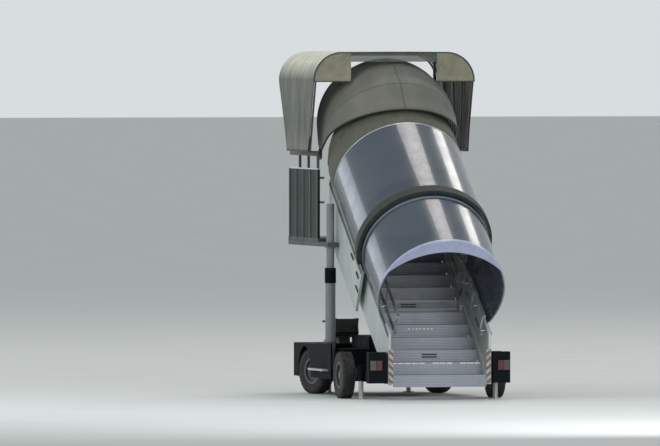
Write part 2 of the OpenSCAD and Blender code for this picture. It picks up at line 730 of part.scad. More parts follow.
// Running gear
module front_axle() placed() color([0.10, 0.10, 0.11]) translate([0, front_axle_y, 0])
    both_sides() difference() {
        union() {
            block([0, kingpin_x - eye_r - run_gap], [-axle_half[0], axle_half[0]],
                [rail_z - axle_drop, rail_z]);
            block([kingpin_x - yoke_w[0], kingpin_x - eye_r - run_gap], [-axle_half[1], axle_half[1]],
                [rail_z - axle_drop, wheel_r + eye_h / 2]);
            block([kingpin_x - yoke_w[1], kingpin_x], [-axle_half[2], axle_half[2]],
                [wheel_r - eye_h / 2, wheel_r + eye_h / 2]);
            translate([kingpin_x, 0, wheel_r - eye_h / 2]) cylinder(h = eye_h, r = eye_r);
        }
        translate([kingpin_x, 0, 0]) cylinder(h = far, r = pin_r + seat_gap);
    }
module rear_axle() placed() color([0.10, 0.10, 0.11]) translate([0, rear_axle_y, 0])
    both_sides() {
        plate_x = rail_in + rail_t;
        inner = rear_track_half - hub_half - run_gap;
        block([plate_x, plate_x + axle_plate_t], [-axle_plate_half, axle_plate_half],
            [rail_z + axle_plate_up[0], wheel_r + axle_plate_up[1]]);
        tube_x(plate_x, inner, 0, wheel_r, stub_r + axle_tube_wall);
        tube_x(plate_x, rear_track_half + hub_half, 0, wheel_r, stub_r);
    }
// The knuckle is drawn on the kingpin, pointing outwards along X
module knuckle() translate([0, 0, wheel_r]) {
    face = eye_r + run_gap;
    top = eye_h / 2 + run_gap;
    hub_x = front_track_half - kingpin_x - hub_half - run_gap;
    translate([0, 0, -top - cheek_t]) cylinder(h = 2 * (top + cheek_t), r = pin_r);
    for (z = [-top - cheek_t, top]) translate([0, 0, z]) {
        cylinder(h = cheek_t, r = eye_r);
        block([0, face + 10], [-30, 30], [0, cheek_t]);
    }
    block([face, face + 18], [-38, 38], [-top - cheek_t, top + cheek_t]);
    tube_x(face, hub_x + 2 * hub_half + run_gap, 0, 0, stub_r);
}
module front_corner(side) placed() translate([side * kingpin_x, front_axle_y, 0])
    rotate([0, 0, park_steer]) mirror([side < 0 ? 1 : 0, 0, 0]) children();
module knuckle_left() color([0.12, 0.12, 0.13]) front_corner(-1) knuckle();
module knuckle_right() color([0.12, 0.12, 0.13]) front_corner(1) knuckle();
// Wheel pieces turn about X, with their middle at the origin
module rim() color([0.30, 0.31, 0.33]) rotate([0, 90, 0]) {
    half = tyre_w / 2;
    rotate_extrude($fn = fine) {
        translate([rim_r - 14, 12 - half]) square([14, tyre_w - 24]);
        translate([rim_r - 30, half - 24]) square([25, 12]);
        translate([hub_bore(), 20]) square([rim_r - 10 - hub_bore(), 18]);
        translate([hub_bore(), -hub_half]) square([44, 2 * hub_half]);
        translate([0, hub_half + 4]) square([hub_bore() + 30, 14]);
        translate([hub_bore() + 10, hub_half - 1]) square([20, 10]);
    }
}
function hub_bore() = stub_r + seat_gap;
module tyre() color([0.05, 0.05, 0.055]) rotate([0, 90, 0]) rotate_extrude($fn = fine) {
    half = tyre_w / 2;
    shoulder = 34;
    polygon([[rim_r, 14 - half], [rim_r + 30, -half], [wheel_r - shoulder, -half],
        [wheel_r - 9, -half + 14], [wheel_r, -half + shoulder], [wheel_r, half - shoulder],
        [wheel_r - 9, half - 14], [wheel_r - shoulder, half], [rim_r + 30, half],
        [rim_r, half - 14]]);
}
module at_front(side) front_corner(side)
    translate([front_track_half - kingpin_x, 0, wheel_r]) children();
module at_rear(side) placed() mirror([side < 0 ? 1 : 0, 0, 0])
    translate([rear_track_half, rear_axle_y, wheel_r]) children();
module jack(side, i) placed() color([0.60, 0.61, 0.62])
    translate([side * jack_x[i], jack_y[i], 0]) {
        cylinder(h = jack_foot_h, r = jack_foot_r);
        cylinder(h = jack_l, r = jack_r);
    }

chassis_frame();
rear_beam();
tail_lamps();
body_sides();
front_cowl();
engine_block();
engine_housing();
tank_box();
driver_seat();
steering_wheel();
mast_outer();
mast_collars();
front_axle();
rear_axle();
side_steps();
tow_jaw();
knuckle_left();
knuckle_right();
at_front(-1) rim();  // rim_front_left
at_front(1) rim();  // rim_front_right
at_rear(-1) rim();  // rim_rear_left
at_rear(1) rim();  // rim_rear_right
at_front(-1) tyre();  // tyre_front_left
at_front(1) tyre();  // tyre_front_right
at_rear(-1) tyre();  // tyre_rear_left
at_rear(1) tyre();  // tyre_rear_right
jack(-1, 1);  // jack_front_left
jack(1, 1);  // jack_front_right
jack(-1, 0);  // jack_rear_left
jack(1, 0);  // jack_rear_right
lower_sides();
lower_treads();
lower_handrails();
canopy_lower();
canopy_lower_trim();
upper_sides();
upper_treads();
upper_handrails();
canopy_upper();
canopy_seal();
landing_deck();
landing_walls();
mast_inner();
shelter_frame();
shelter_cover();
shelter_end_plates();
folding_hood();
hood_bows();
landing_handrails();
landing_bumper();
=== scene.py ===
"""Looks of a set of self-propelled, covered aircraft stairs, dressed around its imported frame."""
import json
import math

import bmesh
import bpy
from mathutils import Matrix, Vector


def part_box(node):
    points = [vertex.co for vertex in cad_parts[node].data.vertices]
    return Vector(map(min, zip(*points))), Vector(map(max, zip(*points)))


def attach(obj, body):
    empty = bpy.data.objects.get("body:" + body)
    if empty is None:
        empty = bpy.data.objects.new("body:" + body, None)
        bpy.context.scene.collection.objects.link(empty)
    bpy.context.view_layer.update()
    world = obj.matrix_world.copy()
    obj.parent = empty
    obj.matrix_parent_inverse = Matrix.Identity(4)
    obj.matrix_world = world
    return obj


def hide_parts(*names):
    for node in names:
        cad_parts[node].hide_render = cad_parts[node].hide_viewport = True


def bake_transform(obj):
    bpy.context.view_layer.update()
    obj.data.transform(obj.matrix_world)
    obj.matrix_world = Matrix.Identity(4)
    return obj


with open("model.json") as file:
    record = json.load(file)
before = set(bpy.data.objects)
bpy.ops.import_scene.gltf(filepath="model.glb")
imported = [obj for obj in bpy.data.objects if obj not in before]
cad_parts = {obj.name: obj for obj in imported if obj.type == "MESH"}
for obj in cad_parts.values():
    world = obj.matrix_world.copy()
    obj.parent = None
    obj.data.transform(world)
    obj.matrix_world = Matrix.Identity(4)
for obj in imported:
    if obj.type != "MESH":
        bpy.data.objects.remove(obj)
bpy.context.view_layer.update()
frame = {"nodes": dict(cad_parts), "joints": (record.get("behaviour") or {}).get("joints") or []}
node = frame["nodes"]

# Studio: a long lens far off, nearly level, with the stairs right of the middle. A hazy sun and a
# bright cloud behind draw the stripes down the canopies, and broad soft lamps fill the near side.
# The room gives a plain light, and the camera and the gloss see it as a paler background.
AZIMUTH = math.radians(-14)
ELEVATION = math.radians(0.97)
LENS_MM = 900
SENSOR_MM = 36
PIXELS_PER_M = 64.5
IMAGE_W = 660
AIM_ACROSS = -1.131
AIM_UP = 2.684
CAMERA_REACH = 2000
distance = LENS_MM / SENSOR_MM * IMAGE_W / PIXELS_PER_M
across_view = Vector((math.cos(AZIMUTH), math.sin(AZIMUTH), 0))
towards_camera = Vector((math.sin(AZIMUTH) * math.cos(ELEVATION),
                         -math.cos(AZIMUTH) * math.cos(ELEVATION), math.sin(ELEVATION)))
aim = across_view * AIM_ACROSS + Vector((0, 0, AIM_UP))


def into_scene(obj):
    bpy.context.scene.collection.objects.link(obj)


camera = bpy.data.objects.new("camera", bpy.data.cameras.new("camera"))
camera.data.lens = LENS_MM
camera.data.sensor_width = SENSOR_MM
camera.data.clip_end = CAMERA_REACH
camera.location = aim + towards_camera * distance
camera.rotation_euler = (-towards_camera).to_track_quat("-Z", "Y").to_euler()
into_scene(camera)
bpy.context.scene.camera = camera
bpy.context.scene.view_settings.view_transform = "Standard"

LAMPS_AIM = Vector((0, 0, 2.4))


def soft_lamp(name, place, size, watts, colour):
    lamp = bpy.data.objects.new(name, bpy.data.lights.new(name, "AREA"))
    lamp.data.energy = watts
    lamp.data.size = size
    lamp.data.color = colour
    lamp.location = place
    lamp.rotation_euler = (LAMPS_AIM - lamp.location).to_track_quat("-Z", "Y").to_euler()
    into_scene(lamp)


soft_lamp("haze_sun", (33, 32, 34), 12, 2500, (1, 0.98, 0.93))
soft_lamp("bright_cloud", (9, 17, 46), 13, 3200, (1, 0.94, 0.90))
soft_lamp("sky_front", (2, -20, 7), 9, 1250, (0.97, 0.98, 1))
soft_lamp("sky_left", (-14, -5, 11), 8, 700, (0.95, 0.98, 1))
soft_lamp("low_sky", (-21, 34, 10), 11, 850, (0.84, 0.91, 1))

ROOM_COLOUR = (0.80, 0.84, 0.86, 1)
ROOM_LIGHTS = 0.62
ROOM_SEEN = 0.86
world = bpy.data.worlds.new("pale_room")
world.use_nodes = True
bpy.context.scene.world = world
room = world.node_tree
light_rays = room.nodes.new("ShaderNodeLightPath")
seen_rays = light_rays.outputs["Is Camera Ray"]
for ray in ("Is Glossy Ray", "Is Transmission Ray"):
    either = room.nodes.new("ShaderNodeMath")
    either.operation = "MAXIMUM"
    room.links.new(seen_rays, either.inputs[0])
    room.links.new(light_rays.outputs[ray], either.inputs[1])
    seen_rays = either.outputs[0]
strength = room.nodes.new("ShaderNodeMapRange")
strength.inputs["To Min"].default_value = ROOM_LIGHTS
strength.inputs["To Max"].default_value = ROOM_SEEN
room.links.new(seen_rays, strength.inputs["Value"])
room.nodes["Background"].inputs["Color"].default_value = ROOM_COLOUR
room.links.new(strength.outputs[0], room.nodes["Background"].inputs["Strength"])

# Floor: one wide sheet of pale, matt studio floor just under the wheels, faintly mottled. Its finish
# is wired like every other one here, from the object's own coordinates.


class Wire:
    """A shader socket that takes arithmetic; the tree grows as expressions are written."""

    def __init__(self, tree, socket):
        self.tree, self.socket = tree, socket

    def node(self, kind, settings=(), **values):
        made = self.tree.nodes.new("ShaderNode" + kind)
        for key, value in dict(settings).items():
            setattr(made, key, value)
        for key, value in values.items():
            name = int(key[1:]) if key[0] == "_" else key.replace("_", " ")
            socket = made.inputs[name]
            if isinstance(value, Wire):
                self.tree.links.new(value.socket, socket)
            else:
                socket.default_value = value
        return made

    def out(self, kind, settings=(), output=0, **values):
        return Wire(self.tree, self.node(kind, settings, **values).outputs[output])

    def maths(self, operation, other=0.0):
        return self.out("Math", {"operation": operation}, _0=self, _1=other)

    def __add__(self, other): return self.maths("ADD", other)
    def __sub__(self, other): return self.maths("SUBTRACT", other)
    def __rsub__(self, other): return self.out("Math", {"operation": "SUBTRACT"}, _0=other, _1=self)
    def __mul__(self, other): return self.maths("MULTIPLY", other)
    def __gt__(self, other): return self.maths("GREATER_THAN", other)
    def __lt__(self, other): return self.maths("LESS_THAN", other)
    def absolute(self): return self.maths("ABSOLUTE")
    __radd__, __rmul__ = __add__, __mul__

    def step(self, low, high, bottom=0.0, top=1.0):
        return self.out("MapRange", _0=self, _1=low, _2=high, _3=bottom, _4=top)

    def noise(self, scale, detail=3.0, rough=0.5):
        return self.out("TexNoise", Vector=self, Scale=scale, Detail=detail, Roughness=rough)

    def stretched(self, x, y, z):
        return self.out("Mapping", Vector=self, Scale=(x, y, z))

    def axis(self, index):
        return self.out("SeparateXYZ", output=index, _0=self)

    def sheet_share(self, index):
        return self.out("TexCoord", output="UV").axis(index)

    def tint(self, first, second):
        """Goes from the first colour to the second as this number goes from 0 to 1."""
        ends = [end if isinstance(end, Wire) else (*end, 1) for end in (first, second)]
        return self.out("Mix", {"data_type": "RGBA"}, output=2, _0=self, _6=ends[0], _7=ends[1])


def finish_of(name, **fixed):
    """A new material: its object coordinates as a Wire, and a call that wires up the surface."""
    material = bpy.data.materials.new(name)
    material.use_nodes = True
    tree = material.node_tree
    surface = tree.nodes["Principled BSDF"]
    for key, value in fixed.items():
        surface.inputs[key.replace("_", " ")].default_value = value
    place = Wire(tree, tree.nodes.new("ShaderNodeTexCoord").outputs["Object"])

    def wire(bump=None, bump_depth=0.001, **linked):
        for key, value in linked.items():
            tree.links.new(value.socket, surface.inputs[key.replace("_", " ")])
        if bump is not None:
            made = place.node("Bump", Height=bump, Strength=1.0, Distance=bump_depth)
            tree.links.new(made.outputs[0], surface.inputs["Normal"])
        return material

    return place, wire


FLOOR_HALF = 400
FLOOR_DROP = 0.0005
floor_mesh = bpy.data.meshes.new("floor")
floor_mesh.from_pydata([(x, y, 0) for x, y in ((-1, -1), (1, -1), (1, 1), (-1, 1))], [],
                       [(0, 1, 2, 3)])
floor_mesh.transform(Matrix.Scale(FLOOR_HALF, 4))
floor_mesh.transform(Matrix.Translation((0, 0, -FLOOR_DROP)))
floor = bpy.data.objects.new("floor", floor_mesh)
into_scene(floor)
place, wire = finish_of("pale_floor")
floor_mesh.materials.append(wire(
    bump=place.noise(14.0, 4.0), bump_depth=0.0015, Roughness=place.noise(3.0).step(0, 1, 0.75, 0.9),
    Base_Color=place.noise(0.6, 6.0).tint((0.64, 0.66, 0.65), (0.72, 0.74, 0.72))))


# Chassis: welded box rails, beams and bent-sheet bodywork, sprayed one near-black navy and
# dulled by apron dust, heaviest near the ground.


def dress(material, *names):
    for name in names:
        node[name].data.materials.clear()
        node[name].data.materials.append(material)


def painted(name, colour, dirt, rough, dirt_amount=0.5, scale=6.0, gloss=0.5):
    """Sprayed paint with a fine orange peel, streaks of road dust and duller worn patches."""
    place, wire = finish_of(name, Specular_IOR_Level=gloss)
    streaks = place.stretched(1.0, 1.0, 0.25).noise(scale, 5.0, 0.65).step(0.42, 0.75)
    low_dust = place.axis(2).step(0.1, 1.1, 0.55, 0.0) * place.noise(9.0, 4.0).step(0.3, 0.7)
    soiled = (streaks * dirt_amount + low_dust).step(0.0, 1.0)
    return wire(bump=place.noise(180.0, 2.0), bump_depth=0.0004, Base_Color=soiled.tint(colour, dirt),
                Roughness=soiled.step(0.0, 1.0, rough, min(0.95, rough + 0.3)))


NAVY = (0.0030, 0.0050, 0.0080)
DUST = (0.009, 0.0105, 0.010)
navy_paint = painted("navy_paint", NAVY, DUST, rough=0.6, dirt_amount=0.10, gloss=0.08)
dress(navy_paint, "chassis_frame", "rear_beam", "body_sides", "front_cowl", "engine_housing",
      "tank_box", "tow_jaw", "mast_collars")

# Axles, knuckles, the shelter's tubes and the hood's bows: steel in a dark grey primer, browned by
# grease and dust. Their shapes are the solids' own.
grey_primer = painted("grey_primer", (0.055, 0.058, 0.060), (0.13, 0.12, 0.10), rough=0.5,
                      dirt_amount=0.4, scale=14.0)
dress(grey_primer, "front_axle", "rear_axle", "knuckle_left", "knuckle_right", "shelter_frame",
      "hood_bows")

# Engine: one cast block on bearers between the inner rails, under the flight. The casting is rough,
# dark and browned by oil.
place, wire = finish_of("oily_casting", Metallic=0.4)
grain = place.noise(70.0, 5.0)
dress(wire(bump=grain, bump_depth=0.002, Roughness=place.noise(5.0).step(0.3, 0.7, 0.35, 0.75),
           Base_Color=place.noise(8.0).step(0.4, 0.7).tint((0.05, 0.05, 0.055), (0.10, 0.085, 0.06))),
      "engine_block")

# Masts: a fixed steel tube flanged to the body on each side, and the sliding tube in it that carries
# the landing. Both are sprayed light grey.
mast_paint = painted("mast_paint", (0.215, 0.225, 0.24), (0.10, 0.10, 0.095), rough=0.38,
                     dirt_amount=0.35, scale=10.0)
dress(mast_paint, "mast_outer", "mast_inner")

# Side panels: flat sheet on both sides of each flight, the lower pair sliding inside the upper one.
# They are sprayed a matt light grey-green and streaked downwards by rain.
panel_paint = painted("panel_paint", (0.46, 0.51, 0.49), (0.20, 0.22, 0.195), rough=0.42,
                      dirt_amount=0.35, scale=5.0)
dress(panel_paint, "lower_sides", "upper_sides")

# Handrails: two straight round tubes on each side, carried by posts and by brackets from the panels
# and the landing's walls. They are worn dark grey, and bright where hands polish them.
place, wire = finish_of("rail_tube", Metallic=0.75)
polish = place.stretched(1, 0.3, 0.3).noise(16.0, 4.0).step(0.4, 0.68)
dress(wire(bump=place.noise(260.0), bump_depth=0.0003, Roughness=polish.step(0, 1, 0.5, 0.22),
           Base_Color=polish.tint((0.22, 0.23, 0.24), (0.62, 0.63, 0.65))),
      "lower_handrails", "upper_handrails", "landing_handrails")

# Treads and risers: one folded aluminium sheet for each flight, with fine ribs across the way and
# scuffs along the middle.
RIB_WAVE = 260.0
place, wire = finish_of("ribbed_tread", Metallic=0.35)
across_wear = place.axis(0).absolute().step(0.15, 0.75, 1.0, 0.0)
ribs = (place.axis(1) * RIB_WAVE).maths("SINE")
riser_ribs = (place.axis(2) * RIB_WAVE).maths("SINE")
scuff = place.noise(7.0, 6.0, 0.7).step(0.35, 0.7)
tread_metal = wire(bump=(ribs + riser_ribs) * 0.5 + scuff * 0.2, bump_depth=0.0015,
                   Base_Color=(scuff * 0.6 + across_wear * 0.3).tint((0.20, 0.22, 0.24),
                                                                     (0.31, 0.33, 0.37)),
                   Roughness=scuff.step(0, 1, 0.4, 0.65))
dress(tread_metal, "lower_treads", "upper_treads")

# Canopies: sheets of smoke-tinted acrylic bent to a barrel over each flight, the lower one sliding
# inside the upper one. They are glossy outside and filmed with dust.
place, wire = finish_of("smoky_sheet", IOR=1.49)
film = place.noise(2.2, 5.0, 0.6).step(0.35, 0.75)
smoky_sheet = wire(Base_Color=film.tint((0.022, 0.040, 0.066), (0.052, 0.074, 0.102)),
                   Roughness=film.step(0, 1, 0.20, 0.30), Alpha=film.step(0, 1, 0.83, 0.90),
                   Coat_Weight=film.step(0, 1, 0.5, 0.25))
dress(smoky_sheet, "canopy_lower", "canopy_upper")

# Pale rim, fascia and edge strips of the lower canopy: lacquered lavender over the crown, and
# weathered to grey down the sides and on the far hoop.
RIM_AND_HOOP = -0.5
place, wire = finish_of("pale_lacquer", Coat_Weight=0.2)
grime = place.stretched(1, 1, 0.3).noise(8.0, 5.0, 0.65).step(0.42, 0.8)
joint = {j["name"]: j for j in frame["joints"]}
up_slope = Vector(joint["flight_extend"]["axis"])
off_slope = Vector((0, -up_slope.z, up_slope.y))
along_slope = place.axis(1) * up_slope.y + place.axis(2) * up_slope.z
crown = place.axis(2).step(1.70, 1.95) * (along_slope < RIM_AND_HOOP)
lacquer = crown.tint((0.19, 0.215, 0.215), (0.36, 0.40, 0.56))
dress(wire(bump=place.noise(180.0, 2.0), bump_depth=0.0004, Roughness=grime.step(0, 1, 0.32, 0.6),
           Base_Color=(grime * 0.4).tint(lacquer, (0.15, 0.16, 0.16))), "canopy_lower_trim")

# Rubber: the hoop that seals the canopies against each other and the landing's bumper, matt and
# greyed by weather. The moulded steering wheel and its column look the same.
place, wire = finish_of("grey_rubber")
chalk = place.noise(12.0, 6.0, 0.65).step(0.4, 0.75)
rubber = wire(bump=place.noise(120.0, 3.0), bump_depth=0.0008,
              Base_Color=chalk.tint((0.018, 0.022, 0.016), (0.050, 0.056, 0.044)),
              Roughness=chalk.step(0, 1, 0.6, 0.9))
dress(rubber, "canopy_seal", "landing_bumper", "steering_wheel")

# Landing: a steel deck on side beams and cross-beams, sprayed dark grey. A sheet wall stands on each
# side of it, nearly black and dusty.
deck_paint = painted("deck_paint", (0.085, 0.09, 0.088), (0.055, 0.058, 0.050), rough=0.55, gloss=0.3)
dress(deck_paint, "landing_deck")
wall_sheet = painted("wall_sheet", (0.010, 0.017, 0.014), (0.032, 0.040, 0.034), rough=0.4,
                     dirt_amount=0.45, gloss=0.12)
dress(wall_sheet, "landing_walls")

# Fasteners and ribs: Geometry Nodes put one small shape on each of a row of points, turned by the
# point's own heading; the result is realized, given its material and kept as a plain mesh.
SHAPES = {"bar": ("GeometryNodeMeshCube", {}),
          "bolt": ("GeometryNodeMeshCylinder", {"Vertices": 6, "Radius": 0.5, "Depth": 1.0}),
          "dome": ("GeometryNodeMeshUVSphere", {"Segments": 10, "Rings": 6, "Radius": 0.5})}


def row_tree(shape):
    """A node group that sets one unit shape, scaled to its Size input, on every vertex."""
    tree = bpy.data.node_groups.new("row_of_" + shape + "s", "GeometryNodeTree")
    for label, kind in (("Spots", "NodeSocketGeometry"), ("Size", "NodeSocketVector"),
                        ("Finish", "NodeSocketMaterial")):
        tree.interface.new_socket(label, in_out="INPUT", socket_type=kind)
    tree.interface.new_socket("Pieces", in_out="OUTPUT", socket_type="NodeSocketGeometry")
    given = tree.nodes.new("NodeGroupInput")
    unit = tree.nodes.new(SHAPES[shape][0])
    for key, value in SHAPES[shape][1].items():
        unit.inputs[key].default_value = value
    turns = []
    for attribute, axis, pivot in (("heading", "Z", "AUTO"), ("side", "X", "Z")):
        read = tree.nodes.new("GeometryNodeInputNamedAttribute")
        read.data_type = "FLOAT_VECTOR"
        read.inputs["Name"].default_value = attribute
        turn = tree.nodes.new("FunctionNodeAlignRotationToVector")
        turn.axis = axis
        turn.pivot_axis = pivot
        tree.links.new(read.outputs["Attribute"], turn.inputs["Vector"])
        turns.append(turn)
    tree.links.new(turns[0].outputs[0], turns[1].inputs["Rotation"])
    spread = tree.nodes.new("GeometryNodeInstanceOnPoints")
    realize = tree.nodes.new("GeometryNodeRealizeInstances")
    coat = tree.nodes.new("GeometryNodeSetMaterial")
    end = tree.nodes.new("NodeGroupOutput")
    for source, target in ((given.outputs["Spots"], spread.inputs["Points"]),
                           (unit.outputs["Mesh"], spread.inputs["Instance"]),
                           (turns[1].outputs[0], spread.inputs["Rotation"]),
                           (given.outputs["Size"], spread.inputs["Scale"]),
                           (spread.outputs[0], realize.inputs[0]),
                           (realize.outputs[0], coat.inputs["Geometry"]),
                           (given.outputs["Finish"], coat.inputs["Material"]),
                           (coat.outputs[0], end.inputs[0])):
        tree.links.new(source, target)
    return tree


row_trees = {shape: row_tree(shape) for shape in SHAPES}


def piece(name, mesh, material, body, smooth=True):
    """Puts a finished mesh into the scene; it rides on the body, or on none if no body is given."""
    obj = bpy.data.objects.new(name, mesh)
    into_scene(obj)
    mesh.materials.clear()
    mesh.materials.append(material)
    if smooth:
        mesh.shade_smooth()
    if body:
        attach(obj, body)
    return obj


def finished_mesh(obj):
    """The object's mesh as its modifiers leave it."""
    bpy.context.view_layer.update()
    return bpy.data.meshes.new_from_object(obj.evaluated_get(bpy.context.evaluated_depsgraph_get()))


def row_of(shape, name, spots, size, material, body):
    """One piece made of like shapes; spots are (place, heading, side) in the part's frame."""
    points = bpy.data.meshes.new(name + "_spots")
    points.from_pydata([place for place, _, _ in spots], [], [])
    for index, label in ((1, "heading"), (2, "side")):
        column = points.attributes.new(label, "FLOAT_VECTOR", "POINT")
        column.data.foreach_set("vector", [c for spot in spots for c in spot[index]])
    holder = bpy.data.objects.new(name + "_spots", points)
    into_scene(holder)
    rows = holder.modifiers.new("rows", "NODES")
    rows.node_group = row_trees[shape]
    for item in row_trees[shape].interface.items_tree:
        if item.in_out == "INPUT" and item.name == "Size":
            rows[item.identifier] = size
        if item.in_out == "INPUT" and item.name == "Finish":
            rows[item.identifier] = material
    made = finished_mesh(holder)
    bpy.data.objects.remove(holder)
    made.name = name
    return piece(name, made, material, body, smooth=shape == "dome")


UP = (0, 0, 1)
ACROSS = (1, 0, 0)
place, wire = finish_of("scuffed_steel", Metallic=0.85)
leg_steel = wire(bump=place.stretched(1, 1, 8).noise(40.0), bump_depth=0.0004,
                 Roughness=place.noise(12.0).step(0, 1, 0.3, 0.55),
                 Base_Color=place.noise(7.0).tint((0.28, 0.28, 0.28), (0.5, 0.5, 0.5)))

# Shelter: one tarpaulin pulled over five arches, pleated between them so that it can fold, with a
# dark welt at each end and a stiffened hem. Below the round corners its sides draw together, so the
# pleats fan out upwards. Stiff olive-beige plates close the near corners, with a smoky strip between.
SHELTER_SKIN = 0.006
PLEATS = 19
PLEAT_DEPTH = 0.011
shelter_low, shelter_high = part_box("shelter_cover")
SHELTER_CORNER = 0.45
corner_z = shelter_high.z - SHELTER_CORNER
FRONT_TAPER = 0.36
REAR_TAPER = 0.56
BAY_SAG = 0.012
PULL_DOWN = 1.3
STRIP_HALF = 0.69


def arch_point(share, inset):
    """A point on the round-cornered arch, from its left foot at 0 to its right foot at 1."""
    half = shelter_high.x - inset
    top = shelter_high.z - inset
    turn = SHELTER_CORNER - inset
    leg = top - turn - shelter_low.z
    flat = 2 * (half - turn)
    bend = math.pi / 2 * turn
    at = share * (2 * leg + 2 * bend + flat)
    if at < leg:
        return -half, shelter_low.z + at
    if at < leg + bend:
        a = (at - leg) / turn
        return -(half - turn) - turn * math.cos(a), top - turn + turn * math.sin(a)
    if at < leg + bend + flat:
        return -(half - turn) + at - leg - bend, top
    if at < leg + 2 * bend + flat:
        a = (at - leg - bend - flat) / turn
        return half - turn + turn * math.sin(a), top - turn + turn * math.cos(a)
    return half, shelter_low.z + (2 * leg + 2 * bend + flat) - at


def grid_mesh(name, rows, columns, point):
    """A sheet of quads over point(row share, column share)."""
    mesh = bpy.data.meshes.new(name)
    spots = [point(i / rows, j / columns) for i in range(rows + 1) for j in range(columns + 1)]
    wide = columns + 1
    mesh.from_pydata(spots, [], [(i * wide + j, i * wide + j + 1, (i + 1) * wide + j + 1,
                                  (i + 1) * wide + j) for i in range(rows) for j in range(columns)])
    uv = mesh.uv_layers.new(name="along")
    for loop in mesh.loops:
        i, j = divmod(loop.vertex_index, wide)
        uv.data[loop.index].uv = (i / rows, j / columns)
    return mesh


def thicken(obj, thickness, offset=-1.0):
    """Gives a sheet its thickness and turns the result into a plain mesh with outward faces."""
    shell = obj.modifiers.new("thickness", "SOLIDIFY")
    shell.thickness = thickness
    shell.offset = offset
    made = finished_mesh(obj)
    obj.modifiers.clear()
    obj.data = made


def tarpaulin_point(along, around):
    x, z = arch_point(around, SHELTER_SKIN)
    pleat = math.cos(2 * math.pi * PLEATS * along)
    foot = min(1.0, 14 * min(around, 1 - around))
    inward = PLEAT_DEPTH * (0.5 + 0.5 * pleat) * foot
    sag = BAY_SAG * math.sin(math.pi * 4 * along) ** 2 * foot
    middle_z = shelter_high.z - PULL_DOWN
    reach = math.hypot(x, z - middle_z)
    pull = (inward + sag) / reach
    drawn = max(0.0, (corner_z - z) / (corner_z - shelter_low.z))
    front = shelter_low.y + FRONT_TAPER * drawn
    rear = shelter_high.y - REAR_TAPER * drawn
    return (x - x * pull, front + along * (rear - front), z - (z - middle_z) * pull)


place, wire = finish_of("ribbed_tarpaulin", Sheen_Weight=0.15)
weave = place.noise(420.0, 2.0)
rain = place.stretched(1.0, 2.2, 0.22).noise(5.0, 5.0, 0.65).step(0.38, 0.72)
WELT_SHARE = 0.014
welt = (place.sheet_share(0) < WELT_SHARE) + (place.sheet_share(0) > 1 - WELT_SHARE)
hem = place.axis(2) < shelter_low.z + 0.03
# Above the round corners the tarpaulin is painted a far paler beige than its dark olive sides: painted
# sunlight on the roof.
painted_sunlit_top = place.axis(2).step(corner_z + 0.02, corner_z + 0.30)
cover_colour = painted_sunlit_top.tint(rain.tint((0.155, 0.165, 0.135), (0.085, 0.098, 0.082)),
                           rain.tint((0.72, 0.72, 0.58), (0.44, 0.445, 0.36)))
tarpaulin = wire(bump=weave + rain * 0.5, bump_depth=0.0012,
                 Base_Color=(welt + hem).step(0, 1).tint(cover_colour, (0.045, 0.045, 0.04)),
                 Roughness=rain.step(0, 1, 0.62, 0.85))
cover_mesh = grid_mesh("shelter_tarpaulin", PLEATS * 8, 84, tarpaulin_point)
cover = piece("shelter_tarpaulin", cover_mesh, tarpaulin, "landing")
thicken(cover, SHELTER_SKIN, offset=1.0)
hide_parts("shelter_cover")
place, wire = finish_of("end_plate")
plate_dirt = place.noise(5.0, 5.0, 0.65).step(0.35, 0.75)
between = place.axis(0).absolute() < STRIP_HALF
plate_colour = plate_dirt.tint((0.215, 0.205, 0.135), (0.145, 0.142, 0.092))
dress(wire(bump=place.noise(90.0), bump_depth=0.0006, Roughness=plate_dirt.step(0, 1, 0.5, 0.75),
           Base_Color=between.tint(plate_colour, (0.085, 0.10, 0.085)),
           Alpha=between.step(0, 1, 1.0, 0.62)), "shelter_end_plates")

# Arch piping: a dark rubber cord sewn round the near arch, and a rubber lip under each corner plate. The
# plates are held by a few dome screws.
PIPE_R = 0.011
PIPE_FROM = 0.207
PIPE_SHARE = 0.586
plates_low, plates_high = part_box("shelter_end_plates")


def piping_point(along, around):
    x, z = arch_point(PIPE_FROM + PIPE_SHARE * along, 0.006)
    dx, dz = x, z - (shelter_high.z - 1.0)
    reach = math.hypot(dx, dz)
    a = 2 * math.pi * around
    lift = PIPE_R * math.cos(a) / reach
    return (x + dx * lift, plates_low.y - 0.003 + PIPE_R * math.sin(a), z + dz * lift)


piece("arch_piping", grid_mesh("arch_piping", 160, 12, piping_point), rubber, "landing")
lip = Vector(((shelter_high.x + STRIP_HALF) / 2, (plates_low.y + plates_high.y) / 2,
              plates_low.z - 0.005))
row_of("bar", "plate_lips", [((side * lip.x, lip.y, lip.z), UP, ACROSS) for side in (-1, 1)],
       (shelter_high.x - STRIP_HALF, 0.026, 0.016), rubber, "landing")
row_of("dome", "plate_screws",
       [((side * x, plates_low.y - 0.001, z), (0, -1, 0), ACROSS) for side in (-1, 1)
        for x, z in ((0.74, 4.93), (0.90, 4.93), (1.06, 4.93), (1.22, 4.93), (0.74, 5.08),
                     (0.74, 5.24), (0.90, 5.27))],
       (0.018, 0.018, 0.008), leg_steel, "landing")

# Folding hood: coated canvas in olive beige, sewn in four bays over five bows like a pram's hood.
# It is taut over each bow, sags between them and has a crown seam and doubled hems.
HOOD_PIVOT_Z = 3.75
hood_pivot = Vector((0, joint["hood_fold"]["pos_m"][1], HOOD_PIVOT_Z))
HOOD_REACH = 1.478
HOOD_HALF = 1.056
HOOD_FROM = 28.3
HOOD_TO = 107
HOOD_LEG_FROM = 0.13
BAYS = 4
HOOD_SAG = 0.038
CREASE = 0.004
HOOD_SKIN = 0.005
hood_arc_at = HOOD_REACH - HOOD_HALF
hood_leg = hood_arc_at - HOOD_LEG_FROM
hood_girth = 2 * hood_leg + math.pi * HOOD_HALF


